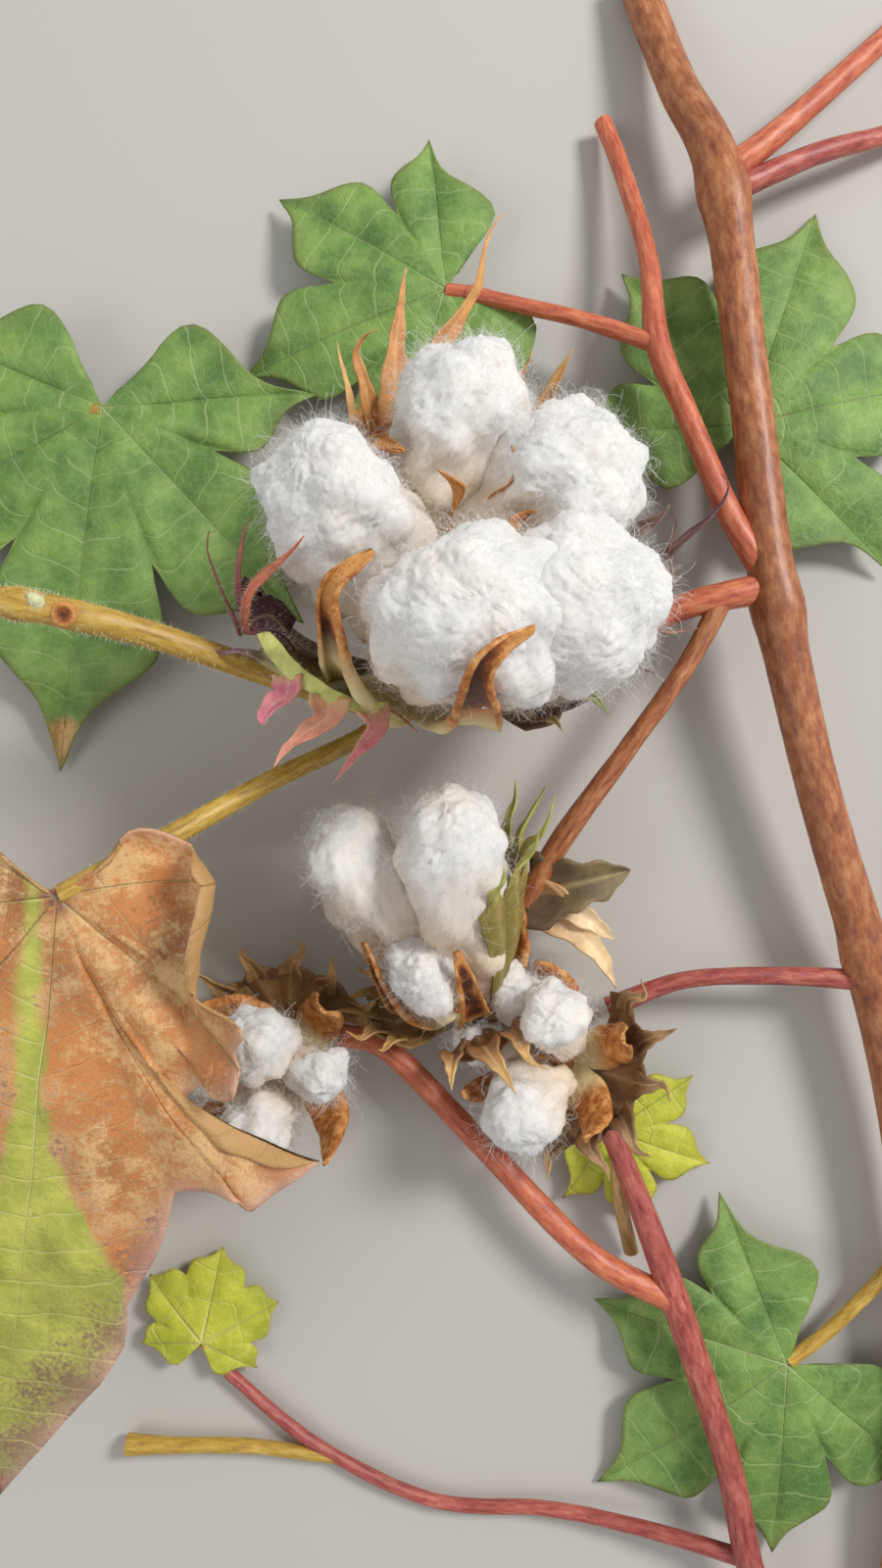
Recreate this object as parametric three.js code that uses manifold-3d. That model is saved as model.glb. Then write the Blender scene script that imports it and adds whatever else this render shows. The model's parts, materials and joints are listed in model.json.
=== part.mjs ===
// A cut cotton branch lying down: a length of main stem with its side branches, four open
// bolls and seven leaves. Millimetres, +Z up, everything rests on the level z = 0.
// Each limb, lock of lint, burr, bract and leaf is one closed solid, 0.3 mm clear of its neighbours.
import * as THREE from 'three';
import { mergeVertices } from 'three/addons/utils/BufferGeometryUtils.js';
import Module from 'manifold-3d';

const wasm = await Module();
wasm.setup();

const clearance = 0.3; // between touching pieces
const finestDetail = 0.14; // smaller crumbs of a cut's edge are smoothed away
const foldMargin = 1.35; // a folded sheet needs more room than a flat one
const frameShift = [7.55, 18.61, 0]; // brings the middle of the outer box over the origin

// Finishes: colour, roughness
const finishes = {
  stem: [0xb5673c, 0.55],
  twig: [0xb9a24b, 0.6],
  lint: [0xf4f3f0, 0.95],
  burr: [0x9a6234, 0.7],
  bract: [0xa9894a, 0.7],
  leafGreen: [0x5f8a3c, 0.5],
  leafYellow: [0xc9c53c, 0.5],
  leafDry: [0xb27a45, 0.75],
};

const vec = (p) => new THREE.Vector3(p[0], p[1], p[2]);
const mix = (a, b, t) => a + (b - a) * t;
const rad = THREE.MathUtils.degToRad;

// Closed triangle lists and solids

function meshOf(points, faces) {
  const geometry = new THREE.BufferGeometry();
  geometry.setAttribute('position', new THREE.Float32BufferAttribute(points.flatMap((p) => [p.x, p.y, p.z]), 3));
  geometry.setIndex(faces.flat());
  return geometry;
}

function solidOf(geometry) {
  const bare = new THREE.BufferGeometry();
  bare.setAttribute('position', geometry.getAttribute('position'));
  bare.setIndex(geometry.getIndex());
  const merged = mergeVertices(bare, 1e-4);
  const corners = [];
  const index = merged.index.array;
  for (let i = 0; i < index.length; i += 3) {
    const [a, b, c] = [index[i], index[i + 1], index[i + 2]];
    if (a !== b && b !== c && a !== c) corners.push(a, b, c);
  }
  const solid = new wasm.Manifold(new wasm.Mesh({
    numProp: 3,
    vertProperties: merged.attributes.position.array,
    triVerts: new Uint32Array(corners),
  }));
  return solid;
}

function geometryOf(solid) {
  const mesh = solid.getMesh();
  const geometry = new THREE.BufferGeometry();
  geometry.setAttribute('position', new THREE.BufferAttribute(new Float32Array(mesh.vertProperties), 3));
  geometry.setIndex(new THREE.BufferAttribute(new Uint32Array(mesh.triVerts), 1));
  return geometry.toNonIndexed();
}

function join(solids) {
  return solids.reduce((whole, piece) => whole.add(piece));
}

// The largest body of a solid that a cut has left in several
function mainBody(solid) {
  return solid.decompose().sort((a, b) => b.volume() - a.volume())[0];
}

// A thin blade: the sheet's points moved half a thickness both ways along their normals and closed
// at its edge. extra makes it that much larger all round.
function thicken(points, faces, thickness, extra) {
  const normals = points.map(() => new THREE.Vector3());
  const rims = points.map(() => new THREE.Vector3());
  const open = new Map();
  for (const [a, b, c] of faces) {
    const across = new THREE.Vector3().subVectors(points[b], points[a]);
    const along = new THREE.Vector3().subVectors(points[c], points[a]);
    const normal = across.cross(along);
    for (const i of [a, b, c]) normals[i].add(normal);
    for (const [from, to] of [[a, b], [b, c], [c, a]]) {
      const back = `${to}_${from}`;
      if (open.has(back)) open.delete(back);
      else open.set(`${from}_${to}`, [from, to, normal]);
    }
  }
  for (const [from, to, normal] of open.values()) {
    const outward = new THREE.Vector3().subVectors(points[to], points[from]).normalize().cross(normal).normalize();
    rims[from].add(outward);
    rims[to].add(outward);
  }
  const count = points.length;
  const half = thickness / 2 + extra * foldMargin;
  const wider = points.map((p, i) => p.clone().addScaledVector(rims[i].normalize(), extra * foldMargin));
  const upper = wider.map((p, i) => p.clone().addScaledVector(normals[i].normalize(), half));
  const lower = wider.map((p, i) => p.clone().addScaledVector(normals[i], -half));
  const walls = [...open.values()].flatMap(([a, b]) => [[b, a, a + count], [b, a + count, b + count]]);
  const under = faces.map(([a, b, c]) => [c + count, b + count, a + count]);
  return solidOf(meshOf([...upper, ...lower], [...faces, ...under, ...walls]));
}

// Rows of points as a sheet; a row may shrink to one point
function sheetFaces(rows, columns) {
  const faces = [];
  for (let i = 0; i < rows - 1; i++) {
    for (let j = 0; j < columns - 1; j++) {
      const a = i * columns + j;
      faces.push([a, a + columns, a + columns + 1], [a, a + columns + 1, a + 1]);
    }
  }
  return faces;
}

// Welds the points that fall together and drops the faces that this closes up
function weld(points, faces) {
  const seen = new Map();
  const kept = [];
  const at = points.map((p) => {
    const key = [p.x, p.y, p.z].map((v) => Math.round(v * 1e3)).join();
    if (!seen.has(key)) {
      seen.set(key, kept.length);
      kept.push(p);
    }
    return seen.get(key);
  });
  const sound = faces
    .map((face) => face.map((i) => at[i]))
    .filter(([a, b, c]) => a !== b && b !== c && a !== c);
  return [kept, sound];
}

// Limbs

// A tapering tube along a smooth line through route, each point [x, y, z, radius]
function tube(route, sides, steps, extra) {
  const line = new THREE.CatmullRomCurve3(route.map(vec), false, 'catmullrom', 0.5);
  const spans = route.length - 1;
  const total = spans * steps;
  const points = [];
  const side = new THREE.Vector3();
  for (let i = 0; i <= total; i++) {
    const t = i / total;
    const span = Math.min(spans - 1, Math.floor(t * spans));
    const radius = mix(route[span][3], route[span + 1][3], t * spans - span) + extra;
    const tangent = line.getTangent(t);
    if (i === 0) side.set(-tangent.y, tangent.x, 0.01).cross(tangent);
    side.addScaledVector(tangent, -side.dot(tangent)).normalize();
    const other = new THREE.Vector3().crossVectors(tangent, side);
    const centre = line.getPoint(t);
    for (let j = 0; j < sides; j++) {
      const angle = (j / sides) * 2 * Math.PI;
      points.push(centre.clone()
        .addScaledVector(side, radius * Math.cos(angle))
        .addScaledVector(other, radius * Math.sin(angle)));
    }
  }
  const faces = [];
  for (let i = 0; i < total; i++) {
    for (let j = 0; j < sides; j++) {
      const next = (j + 1) % sides;
      const [a, b] = [i * sides + j, i * sides + next];
      faces.push([a, b, b + sides], [a, b + sides, a + sides]);
    }
  }
  for (let j = 1; j < sides - 1; j++) {
    faces.push([0, j + 1, j], [total * sides, total * sides + j, total * sides + j + 1]);
  }
  return solidOf(meshOf(points, faces));
}

// Each route runs outwards from the piece that carries the limb
const limbs = {
  main_stem: { sides: 10, steps: 2, finish: 'stem', route: [
    [89.1, -209.3, 5.2, 5.2], [94.5, -186.1, 6.4, 5.1], [100.4, -133.9, 9, 4.9], [97, -81.7, 11, 4.7],
    [88.5, -40.3, 13, 4.7], [76, 0, 16, 4.3], [66.4, 39.3, 19, 4.6], [61.9, 78.6, 18, 4.2],
    [56.7, 123.4, 15, 4.5], [48.8, 145.4, 10, 4], [41.1, 172, 3.9, 3.9]] },
  top_branch: { sides: 8, steps: 2, finish: 'stem', route: [
    [56.7, 123.4, 15, 3], [69.7, 133.4, 15, 2.6], [92.5, 155, 10.5, 2.3], [102.4, 165.5, 6, 2.2]] },
  top_low_branch: { sides: 8, steps: 2, finish: 'stem', route: [
    [56.7, 119.5, 15, 2.6], [76.6, 129.6, 11.5, 2.2], [92.9, 136.2, 7, 2], [105.9, 142, 2.6, 2]] },
  fruiting_branch: { sides: 8, steps: 2, finish: 'stem', route: [
    [66.4, 39.3, 19, 3.2], [55.7, 37.2, 19.5, 2.9], [45.2, 34.2, 18, 2.7], [18, 22, 13, 2.6], [-10.5, 15.3, 11, 3.2]] },
  outer_branch: { sides: 8, steps: 2, finish: 'twig', route: [
    [-10.5, 15.3, 11, 2.4], [-23, 17.8, 24, 2.3], [-30.7, 19.9, 36, 2.3], [-49.4, 25.6, 48, 2.4],
    [-63.6, 28.9, 54, 2.7], [-75.2, 30.7, 56, 2.2], [-99, 33.6, 57.5, 2]] },
  side_branch: { sides: 8, steps: 2, finish: 'stem', route: [
    [66.2, 39.7, 19, 2.8], [57.4, 53.5, 20, 2.5], [49.1, 74.6, 18, 2.3], [43.8, 89.2, 16, 2.5],
    [42.4, 108.4, 12.5, 2], [38, 129.1, 7, 1.9], [34.5, 141, 3.6, 1.9]] },
  side_twig: { sides: 7, steps: 2, finish: 'stem', route: [
    [44, 88.8, 16, 1.9], [30, 94.4, 14, 1.7], [14.2, 99.2, 11.5, 1.6], [5.5, 101.9, 10, 1.7]] },
  drooping_branch: { sides: 8, steps: 2, finish: 'stem', route: [
    [56.3, 37.2, 19.5, 2.2], [48.7, 23.4, 20, 2], [37, 6.8, 19.5, 2], [23.9, -11.7, 17.5, 2.3],
    [14, -30, 13, 2.1], [7.5, -43, 10, 2.3]] },
  cross_branch: { sides: 8, steps: 2, finish: 'stem', route: [
    [88.5, -40.3, 13, 2.3], [70.6, -39.5, 12, 1.9], [50.4, -40.5, 11, 1.8], [34.5, -46.5, 10, 2.2]] },
  lower_stem: { sides: 8, steps: 2, finish: 'stem', route: [
    [91.5, -199, 5.9, 3.4], [73.5, -183.3, 8, 3.1], [64.6, -164.1, 10.5, 2.9], [58.8, -138.9, 12, 2.8],
    [48.2, -106.3, 12.5, 3], [38.6, -80.3, 11.5, 2.4], [32.5, -66, 11, 2.3]] },
  lower_side_stem: { sides: 8, steps: 2, finish: 'stem', route: [
    [48.2, -106.3, 12.5, 2.7], [30.2, -96.8, 11, 2.6], [8.1, -74.6, 9.5, 2.5], [-11, -55.6, 8.5, 2.4],
    [-21, -52.5, 8, 2.5]] },
  lower_twig: { sides: 7, steps: 2, finish: 'stem', route: [
    [64, -161, 10, 1.8], [43, -157.5, 5.5, 1.6], [22.8, -154.7, 3.2, 1.5], [-2.1, -153.3, 2.4, 1.4],
    [-27.1, -141.4, 2.2, 1.4], [-45.6, -126, 2.4, 1.3]] },
  bud_twig: { sides: 7, steps: 2, finish: 'twig', route: [
    [-22, -144.5, 2.2, 1.3], [-40, -141.8, 2.6, 1.5], [-58, -141.3, 3, 1.7], [-67, -141, 3.2, 2.3]] },
  petiole_stub: { sides: 7, steps: 2, finish: 'twig', route: [
    [36.5, -75.5, 10.5, 1.7], [37.8, -88, 6.5, 1.5], [40.5, -99.5, 4, 1.6]] },
};

// Open bolls. A boll has its own frame: its base, the axis its locks stand round, and a turn
// round that axis counted from the side that faces +X. out is the distance from the axis, up along it.

function bollFrame(boll) {
  const axis = vec(boll.axis).normalize();
  const east = new THREE.Vector3(1, 0, 0).addScaledVector(axis, -axis.x).normalize();
  const north = new THREE.Vector3().crossVectors(axis, east);
  const base = vec(boll.base);
  const at = (turn, out, up) => base.clone()
    .addScaledVector(east, out * Math.cos(rad(turn)))
    .addScaledVector(north, out * Math.sin(rad(turn)))
    .addScaledVector(axis, up);
  return { axis, east, north, base, at };
}

// A lock of lint: a drop, thin at the boll's base and full at its outer end, with soft lumps
function lock(boll, spec, extra) {
  const frame = bollFrame(boll);
  const foot = frame.at(spec.turn, boll.lockFoot[0], boll.lockFoot[1]);
  const heart = frame.at(spec.turn, spec.out, spec.up);
  const along = new THREE.Vector3().subVectors(heart, foot);
  const reach = along.length();
  along.normalize();
  const side = new THREE.Vector3().crossVectors(frame.axis, along).normalize();
  const other = new THREE.Vector3().crossVectors(along, side);
  const [rounds, rings] = boll.lockFacets;
  const points = [];
  for (let i = 0; i <= rings; i++) {
    const swing = (i / rings) * Math.PI;
    const t = Math.cos(swing) * -1;
    const length = t < 0 ? (1 + t) * reach : reach + t * (spec.cap + extra);
    const full = Math.sin(swing) ** (t < 0 ? boll.lockTaper : 1);
    for (let j = 0; j < rounds; j++) {
      const angle = (j / rounds) * 2 * Math.PI;
      const lump = 1 + boll.lumps * Math.sin(3 * angle + spec.turn) * Math.sin(2.3 * swing + spec.turn);
      const radius = (spec.radius * lump + extra) * full;
      points.push(foot.clone()
        .addScaledVector(along, length)
        .addScaledVector(side, radius * Math.cos(angle) * spec.wide)
        .addScaledVector(other, radius * Math.sin(angle)));
    }
  }
  const faces = [];
  for (let i = 0; i < rings; i++) {
    for (let j = 0; j < rounds; j++) {
      const next = (j + 1) % rounds;
      const [a, b] = [i * rounds + j, i * rounds + next];
      faces.push([a, b, b + rounds], [a, b + rounds, a + rounds]);
    }
  }
  return solidOf(meshOf(...weld(points, faces)));
}

// One valve of the burr: a boat along its ridge line, its rims rolled away from the boll's middle
function valve(boll, spec, extra) {
  const frame = bollFrame(boll);
  const { roll, facets, thickness } = boll.valve;
  const widths = spec.widths ?? boll.valve.widths;
  const size = spec.size ?? 1;
  const ridge = spec.ridge?.map(vec)
    ?? boll.valve.path.map(([out, up]) => frame.at(spec.turn, out * size, up * size));
  const line = new THREE.CatmullRomCurve3(ridge, false, 'centripetal');
  const middle = frame.at(0, 0, boll.core.columnHeight);
  const [rows, columns] = facets;
  const points = [];
  for (let i = 0; i < rows; i++) {
    const t = i / (rows - 1);
    const spot = line.getPointAt(t);
    const tangent = line.getTangentAt(t);
    const outward = new THREE.Vector3().subVectors(spot, middle);
    outward.addScaledVector(tangent, -outward.dot(tangent)).normalize();
    const across = new THREE.Vector3().crossVectors(outward, tangent);
    const span = Math.min(widths.length - 2, Math.floor(t * (widths.length - 1)));
    const width = mix(widths[span], widths[span + 1], t * (widths.length - 1) - span) * size;
    for (let j = 0; j < columns; j++) {
      const bend = (2 * j / (columns - 1) - 1) * rad(roll);
      points.push(spot.clone()
        .addScaledVector(across, width * Math.sin(bend))
        .addScaledVector(outward, width * (1 - Math.cos(bend)) * 0.8));
    }
  }
  return thicken(points, sheetFaces(rows, columns), thickness, extra);
}

// The burr: its valves, the round base they grow from and the fluted column in the middle
function burr(boll, extra) {
  const frame = bollFrame(boll);
  const valves = boll.valves.map((spec) => valve(boll, spec, extra));
  const { baseRadius, columnRadius, columnHeight } = boll.core;
  const flutes = boll.valves.length;
  const [rounds, levels] = [flutes * 2, 6];
  const points = [];
  for (let i = 0; i <= levels; i++) {
    const t = i / levels;
    const swell = Math.max(0, 1 - Math.abs(t * columnHeight + baseRadius * 0.2 - baseRadius * 0.6) / baseRadius);
    for (let j = 0; j < rounds; j++) {
      const flute = j % 2 ? 0.45 : 1;
      const thin = columnRadius * flute * (1 - t * 0.8);
      const radius = (Math.max(thin, baseRadius * Math.sqrt(swell)) + extra);
      points.push(frame.at((j / rounds) * 360, radius, mix(-baseRadius * 0.5 - extra, columnHeight + extra, t)));
    }
  }
  const faces = [];
  for (let i = 0; i < levels; i++) {
    for (let j = 0; j < rounds; j++) {
      const next = (j + 1) % rounds;
      const [a, b] = [i * rounds + j, i * rounds + next];
      faces.push([a, b, b + rounds], [a, b + rounds, a + rounds]);
    }
  }
  for (let j = 1; j < rounds - 1; j++) {
    faces.push([0, j + 1, j], [levels * rounds, levels * rounds + j, levels * rounds + j + 1]);
  }
  return join([solidOf(meshOf(points, faces)), ...valves]);
}

// A bract: a cupped blade round part of the boll whose rim is cut into long teeth. A tooth is
// named by its root on the rim and its tip, each as turn, out and up in the boll's frame.
function bract(boll, spec, extra) {
  const frame = bollFrame(boll);
  const rows = boll.bractRows;
  const roots = spec.teeth.map(([root]) => root);
  const last = roots.length - 1;
  const between = (a, b, t) => a.map((value, k) => mix(value, b[k], t));
  const valley = ([turn, out, up]) => [turn, out - spec.notch * 0.3, up - spec.notch];
  const rim = [valley(between(roots[0], roots[1], -0.5))];
  roots.forEach((root, i) => {
    rim.push(root, valley(i < last ? between(root, roots[i + 1], 0.5) : between(root, roots[i - 1], -0.5)));
  });
  const middle = (roots[0][0] + roots[last][0]) / 2;
  const points = [];
  for (let i = 0; i < rows; i++) {
    const t = i / (rows - 1);
    for (const [turn, out, up] of rim) {
      points.push(frame.at(
        mix(middle, turn, mix(0.6, 1, t)),
        mix(spec.foot[0], out, Math.sin(t * spec.cup) / Math.sin(spec.cup)),
        mix(spec.foot[1], up, t ** spec.rise)));
    }
  }
  const faces = sheetFaces(rows, rim.length);
  spec.teeth.forEach(([, tipAt], k) => {
    const first = (rows - 1) * rim.length + 2 * k;
    const root = points[first + 1];
    const tip = frame.at(...tipAt);
    const waist = [0, 1, 2].map((m) => points[first + m].clone().lerp(root, 0.5).lerp(tip, 0.45));
    const start = points.length;
    points.push(...waist, tip);
    faces.push(
      [first, start, start + 1], [first, start + 1, first + 1],
      [first + 1, start + 1, start + 2], [first + 1, start + 2, first + 2],
      [start, start + 3, start + 1], [start + 1, start + 3, start + 2]);
  });
  return thicken(points, faces, boll.bractThickness, extra);
}

// Evenly spread teeth round a rim, each standing off it by its length at a slope
function evenTeeth({ turn, spread, out, up, lengths, slope }) {
  return lengths.map((length, i) => {
    const at = turn + spread * (2 * i / (lengths.length - 1) - 1);
    return [[at, out, up], [at, out + length * Math.cos(rad(slope)), up + length * Math.sin(rad(slope))]];
  });
}

const bolls = {
  boll_1: {
    base: [-3, 26.6, 17], axis: [0.22, 0.42, 0.88],
    stalk: [[-10.5, 15.3, 11, 2.6], [-8.6, 19, 12.4, 2.4], [-4.8, 24.2, 14.6, 3]],
    lockFoot: [6, 9], lockFacets: [11, 8], lockTaper: 0.7, lumps: 0.07, bractThickness: 0.9, bractRows: 4,
    locks: [
      { turn: 177, out: 23.9, up: 40.5, radius: 13.2, cap: 13, wide: 1 },
      { turn: 96, out: 24.1, up: 40.7, radius: 14, cap: 14, wide: 1 },
      { turn: 36, out: 19.5, up: 43, radius: 14.4, cap: 13.4, wide: 1 },
      { turn: 316, out: 23, up: 43.7, radius: 14.8, cap: 14, wide: 1.13 },
      { turn: 265, out: 20.5, up: 44, radius: 15.6, cap: 13.5, wide: 1.1 },
    ],
    core: { baseRadius: 6, columnRadius: 4.5, columnHeight: 37 },
    valve: { path: [[4, 1], [15, 4.5], [24, 14], [28.5, 28], [25, 39], [18.5, 44]], thickness: 0.9,
      widths: [3, 5.5, 6, 5.6, 5, 3.6, 0.6], roll: 68, facets: [8, 4] },
    valves: [
      { ridge: [[-5.5, 23.4, 18], [-9.8, 18, 26], [-13, 16.4, 40], [-16, 19.4, 52], [-17.2, 25, 60.5],
        [-16.9, 31, 67.5], [-10.5, 36.2, 69]], widths: [3, 5.2, 5.8, 4.8, 4.2, 3.6, 1.9, 0.8] },
      { ridge: [[-2.6, 22.8, 18], [0.6, 13, 30], [4.4, 11, 46], [5.4, 12.2, 60], [5.2, 14.9, 74.5],
        [6.2, 17.9, 78.6], [9.3, 20.6, 79.6], [13.8, 22.9, 77.5]], widths: [3, 5.2, 4.9, 4.3, 4, 3.6, 2.6, 0.7] },
      { turn: 0, size: 0.95 }, { turn: 68, size: 0.97 }, { turn: 137, size: 0.97 },
    ],
    bracts: {
      left: { foot: [5, -3], notch: 3.5, cup: 1.2, rise: 1.6, teeth: [
        [[184, 36.5, 18], [178, 44, 28]], [[191, 36, 20], [180, 37, 34]], [[198, 34.5, 22], [199, 30.5, 42.4]],
        [[206, 37.5, 18], [199, 45, 14]], [[218, 35.5, 22], [223, 45.1, 19.5]], [[230, 33, 22.5], [231, 47.4, 17.3]],
        [[241, 29.5, 20], [244, 42.9, 16.6]], [[250, 26, 17], [259, 29.5, 17.9]]] },
      right: { foot: [5, -3], notch: 3, cup: 1.2, rise: 1.5, teeth: [
        [[-46, 30, 16], [-48, 33, 17]], [[-34, 32, 20], [-36, 37, 20.5]], [[-22, 34.5, 24], [-23, 40, 26.5]],
        [[-11, 37, 28], [-11, 44.3, 31.6]], [[-1, 38.4, 31.6], [1, 42.5, 37]], [[8, 37.5, 33.5], [18, 48.2, 45.7]],
        [[18, 34.5, 33], [17, 39, 40]]] },
      top: { foot: [5, -3], notch: 3, cup: 1.15, rise: 1.4, teeth: [
        [[67, 38.5, 33], [66, 43.7, 45]], [[76, 41, 33.5], [75, 45, 40]], [[85, 43.5, 32.5], [89, 47.6, 40]],
        [[94, 44.5, 32], [87, 64.6, 51.6]], [[104, 43.5, 31], [105, 55.1, 44.6]], [[112, 43, 30], [111, 47, 38.7]],
        [[120, 39.5, 27], [121, 48.3, 36.3]]] },
    },
  },
  boll_2: {
    base: [4.6, -46, 12.6], axis: [-0.24, 0.87, 0.42],
    lockFoot: [3, 5], lockFacets: [9, 6], lockTaper: 0.6, lumps: 0.06, bractThickness: 0.8, bractRows: 3,
    locks: [
      { turn: 182, out: 12.5, up: 39, radius: 10, cap: 12, wide: 1 },
      { turn: 315, out: 10, up: 40.5, radius: 11, cap: 13, wide: 0.95 },
      { turn: 246, out: 9.6, up: 17, radius: 8.8, cap: 7.5, wide: 1 },
      { turn: 75, out: 7, up: 30, radius: 8, cap: 9, wide: 1 },
    ],
    core: { baseRadius: 4.2, columnRadius: 2.6, columnHeight: 24 },
    valve: { path: [[2.5, 1], [9, 3], [14, 9], [16, 18], [17, 27]], thickness: 0.8,
      widths: [2.5, 4.6, 4, 2.8, 0.6], roll: 58, facets: [5, 4] },
    valves: [{ turn: 214, size: 0.95 }, { turn: 286, size: 0.85 }, { turn: 15, size: 1 }, { turn: 128, size: 1 }],
    bracts: {
      left: { foot: [3.5, -2], notch: 2, cup: 1.1, rise: 1.5,
        teeth: evenTeeth({ turn: 190, spread: 38, out: 19, up: 6, lengths: [6, 7, 8, 6, 5], slope: 10 }) },
      right: { foot: [3.5, -2], notch: 4, cup: 1.3, rise: 1.2,
        teeth: evenTeeth({ turn: 352, spread: 40, out: 20, up: 34, lengths: [9, 11, 14, 12, 9], slope: 50 }) },
      lower: { foot: [3.5, -2], notch: 3, cup: 1.2, rise: 1.3,
        teeth: evenTeeth({ turn: 285, spread: 22, out: 17, up: 2, lengths: [8, 12, 11], slope: -25 }) },
    },
  },
  boll_3: {
    base: [-31.5, -57.2, 8.5], axis: [-0.22, -0.05, 0.97],
    lockFoot: [2.5, 4], lockFacets: [8, 6], lockTaper: 0.6, lumps: 0.05, bractThickness: 0.8, bractRows: 3,
    locks: [
      { turn: 95, out: 8, up: 17, radius: 7.8, cap: 7, wide: 1 },
      { turn: 172, out: 12, up: 13, radius: 7.4, cap: 7, wide: 1 },
      { turn: 262, out: 9.4, up: 15.5, radius: 7.4, cap: 7, wide: 1 },
      { turn: 5, out: 11.5, up: 13.5, radius: 6.2, cap: 6, wide: 0.95 },
    ],
    core: { baseRadius: 3.6, columnRadius: 2.2, columnHeight: 13 },
    valve: { path: [[2.5, 0.6], [9, 1.5], [14.5, 6], [17.5, 13], [19, 17]], thickness: 0.8,
      widths: [2.4, 4.6, 4.8, 3, 0.6], roll: 58, facets: [5, 4] },
    valves: [{ turn: 50, size: 1.05 }, { turn: 132, size: 1 }, { turn: 218, size: 1 }, { turn: 314, size: 1.05 }],
    bracts: {
      whorl: { foot: [3, -2], notch: 2.5, cup: 1.1, rise: 1.6,
        teeth: evenTeeth({ turn: 110, spread: 75, out: 20, up: 3, lengths: [5, 6, 7, 6, 7, 6, 5], slope: 8 }) },
    },
  },
  boll_4: {
    base: [25.4, -56.6, 10], axis: [-0.42, 0.22, 0.88],
    lockFoot: [2.5, 4], lockFacets: [8, 6], lockTaper: 0.6, lumps: 0.05, bractThickness: 0.8, bractRows: 3,
    locks: [
      { turn: 248, out: 11.5, up: 14.5, radius: 8.8, cap: 8, wide: 1 },
      { turn: 60, out: 9, up: 19, radius: 7, cap: 6, wide: 1 },
      { turn: 168, out: 14.5, up: 14, radius: 5.2, cap: 5, wide: 1 },
      { turn: 112, out: 14.5, up: 16, radius: 6, cap: 6, wide: 1 },
    ],
    core: { baseRadius: 3.6, columnRadius: 2.2, columnHeight: 14 },
    valve: { path: [[2.5, 0.6], [9, 1.8], [14, 6], [17, 13], [18, 18]], thickness: 0.8,
      widths: [2.4, 4.4, 4.2, 2.8, 0.6], roll: 58, facets: [5, 4] },
    valves: [{ turn: 10, size: 1 }, { turn: 86, size: 1 }, { turn: 142, size: 0.9 }, { turn: 205, size: 0.95 },
      { turn: 304, size: 1 }],
    bracts: {
      whorl: { foot: [3, -2], notch: 2.5, cup: 1.1, rise: 1.6,
        teeth: evenTeeth({ turn: 330, spread: 66, out: 18.5, up: 4, lengths: [6, 8, 9, 7, 8, 6], slope: 6 }) },
    },
  },
};

// Leaves. The blade is laid out flat round the place where the petiole joins it, one half lobe
// at a time between its vein and the notch beside it, and then bent into its place. A lobe's
// margin runs from its tip by the points in before or after to the notch on that side.

// A regular palmate leaf: lobes fan out either side of the middle one, notch is how deep they
// part, and each side of a lobe swells by shoulder, as a share of that side's length
function palmate({ lengths, fan, notch, shoulder }) {
  const turns = lengths.map((_, i) => (i - (lengths.length - 1) / 2) * fan);
  const last = lengths.length - 1;
  const spot = (turn, reach) => [reach * Math.cos(rad(turn)), reach * Math.sin(rad(turn))];
  const notches = lengths.slice(1).map((reach, i) =>
    spot((turns[i] + turns[i + 1]) / 2, notch * Math.min(reach, lengths[i])));
  notches.unshift(spot(turns[0] - fan * 0.8, 0.16 * lengths[0]));
  notches.push(spot(turns[last] + fan * 0.8, 0.16 * lengths[last]));
  const lobes = lengths.map((reach, i) => {
    const tip = spot(turns[i], reach);
    const side = (end, hand, heel) => {
      const [cx, cy] = [end[0] - tip[0], end[1] - tip[1]];
      return [[0.3, 0.12], [0.66, 0.9]].map(([share, swell]) => {
        const out = swell * shoulder * hand * (heel ? 1.6 : 1);
        return [tip[0] + cx * share + cy * out, tip[1] + cy * share - cx * out];
      });
    };
    return { tip, mid: spot(turns[i], reach / 2),
      before: side(notches[i], -1, i === 0), after: side(notches[i + 1], 1, i === last) };
  });
  return { lobes, notches };
}

function leafBlade(leaf, extra) {
  const { lobes, notches } = leaf.outline;
  const [rings, columns] = leaf.facets;
  const heading = rad(leaf.heading);
  const points = [];
  const faces = [];
  const place = (x, y) => {
    const [px, py] = [x * Math.cos(heading) - y * Math.sin(heading), x * Math.sin(heading) + y * Math.cos(heading)];
    return new THREE.Vector3(leaf.junction[0] + px, leaf.junction[1] + py, leaf.junction[2] + leaf.relief(px, py));
  };
  lobes.forEach(({ tip, mid, before, after }, n) => {
    [[notches[n], before], [notches[n + 1], after]].forEach(([notchPoint, via], half) => {
      const start = points.length;
      const rim = [tip, ...via, notchPoint].map(([x, y]) => new THREE.Vector3(x, y, 0));
      const margin = new THREE.CatmullRomCurve3(rim, false, 'catmullrom');
      for (let i = 0; i <= rings; i++) {
        const t = i / rings;
        for (let j = 0; j <= columns; j++) {
          const v = j / columns;
          const edge = margin.getPointAt(v);
          const [x, y] = [edge.x, edge.y].map((at, k) => {
            const vein = 2 * t * (1 - t) * mid[k] + t * t * tip[k];
            return mix(vein, notchPoint[k] * t, v) + t * t * (at - mix(tip[k], notchPoint[k], v));
          });
          points.push(place(x, y));
        }
      }
      for (const face of sheetFaces(rings + 1, columns + 1)) {
        faces.push((half ? face : [face[0], face[2], face[1]]).map((i) => i + start));
      }
    });
  });
  return thicken(...weld(points, faces), leaf.thickness, extra);
}

const regularLeaf = { fan: 52, notch: 0.56, shoulder: 0.22 };
const droop = (depth, reach) => (x, y) => -depth * (x * x + y * y) / (reach * reach);

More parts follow.
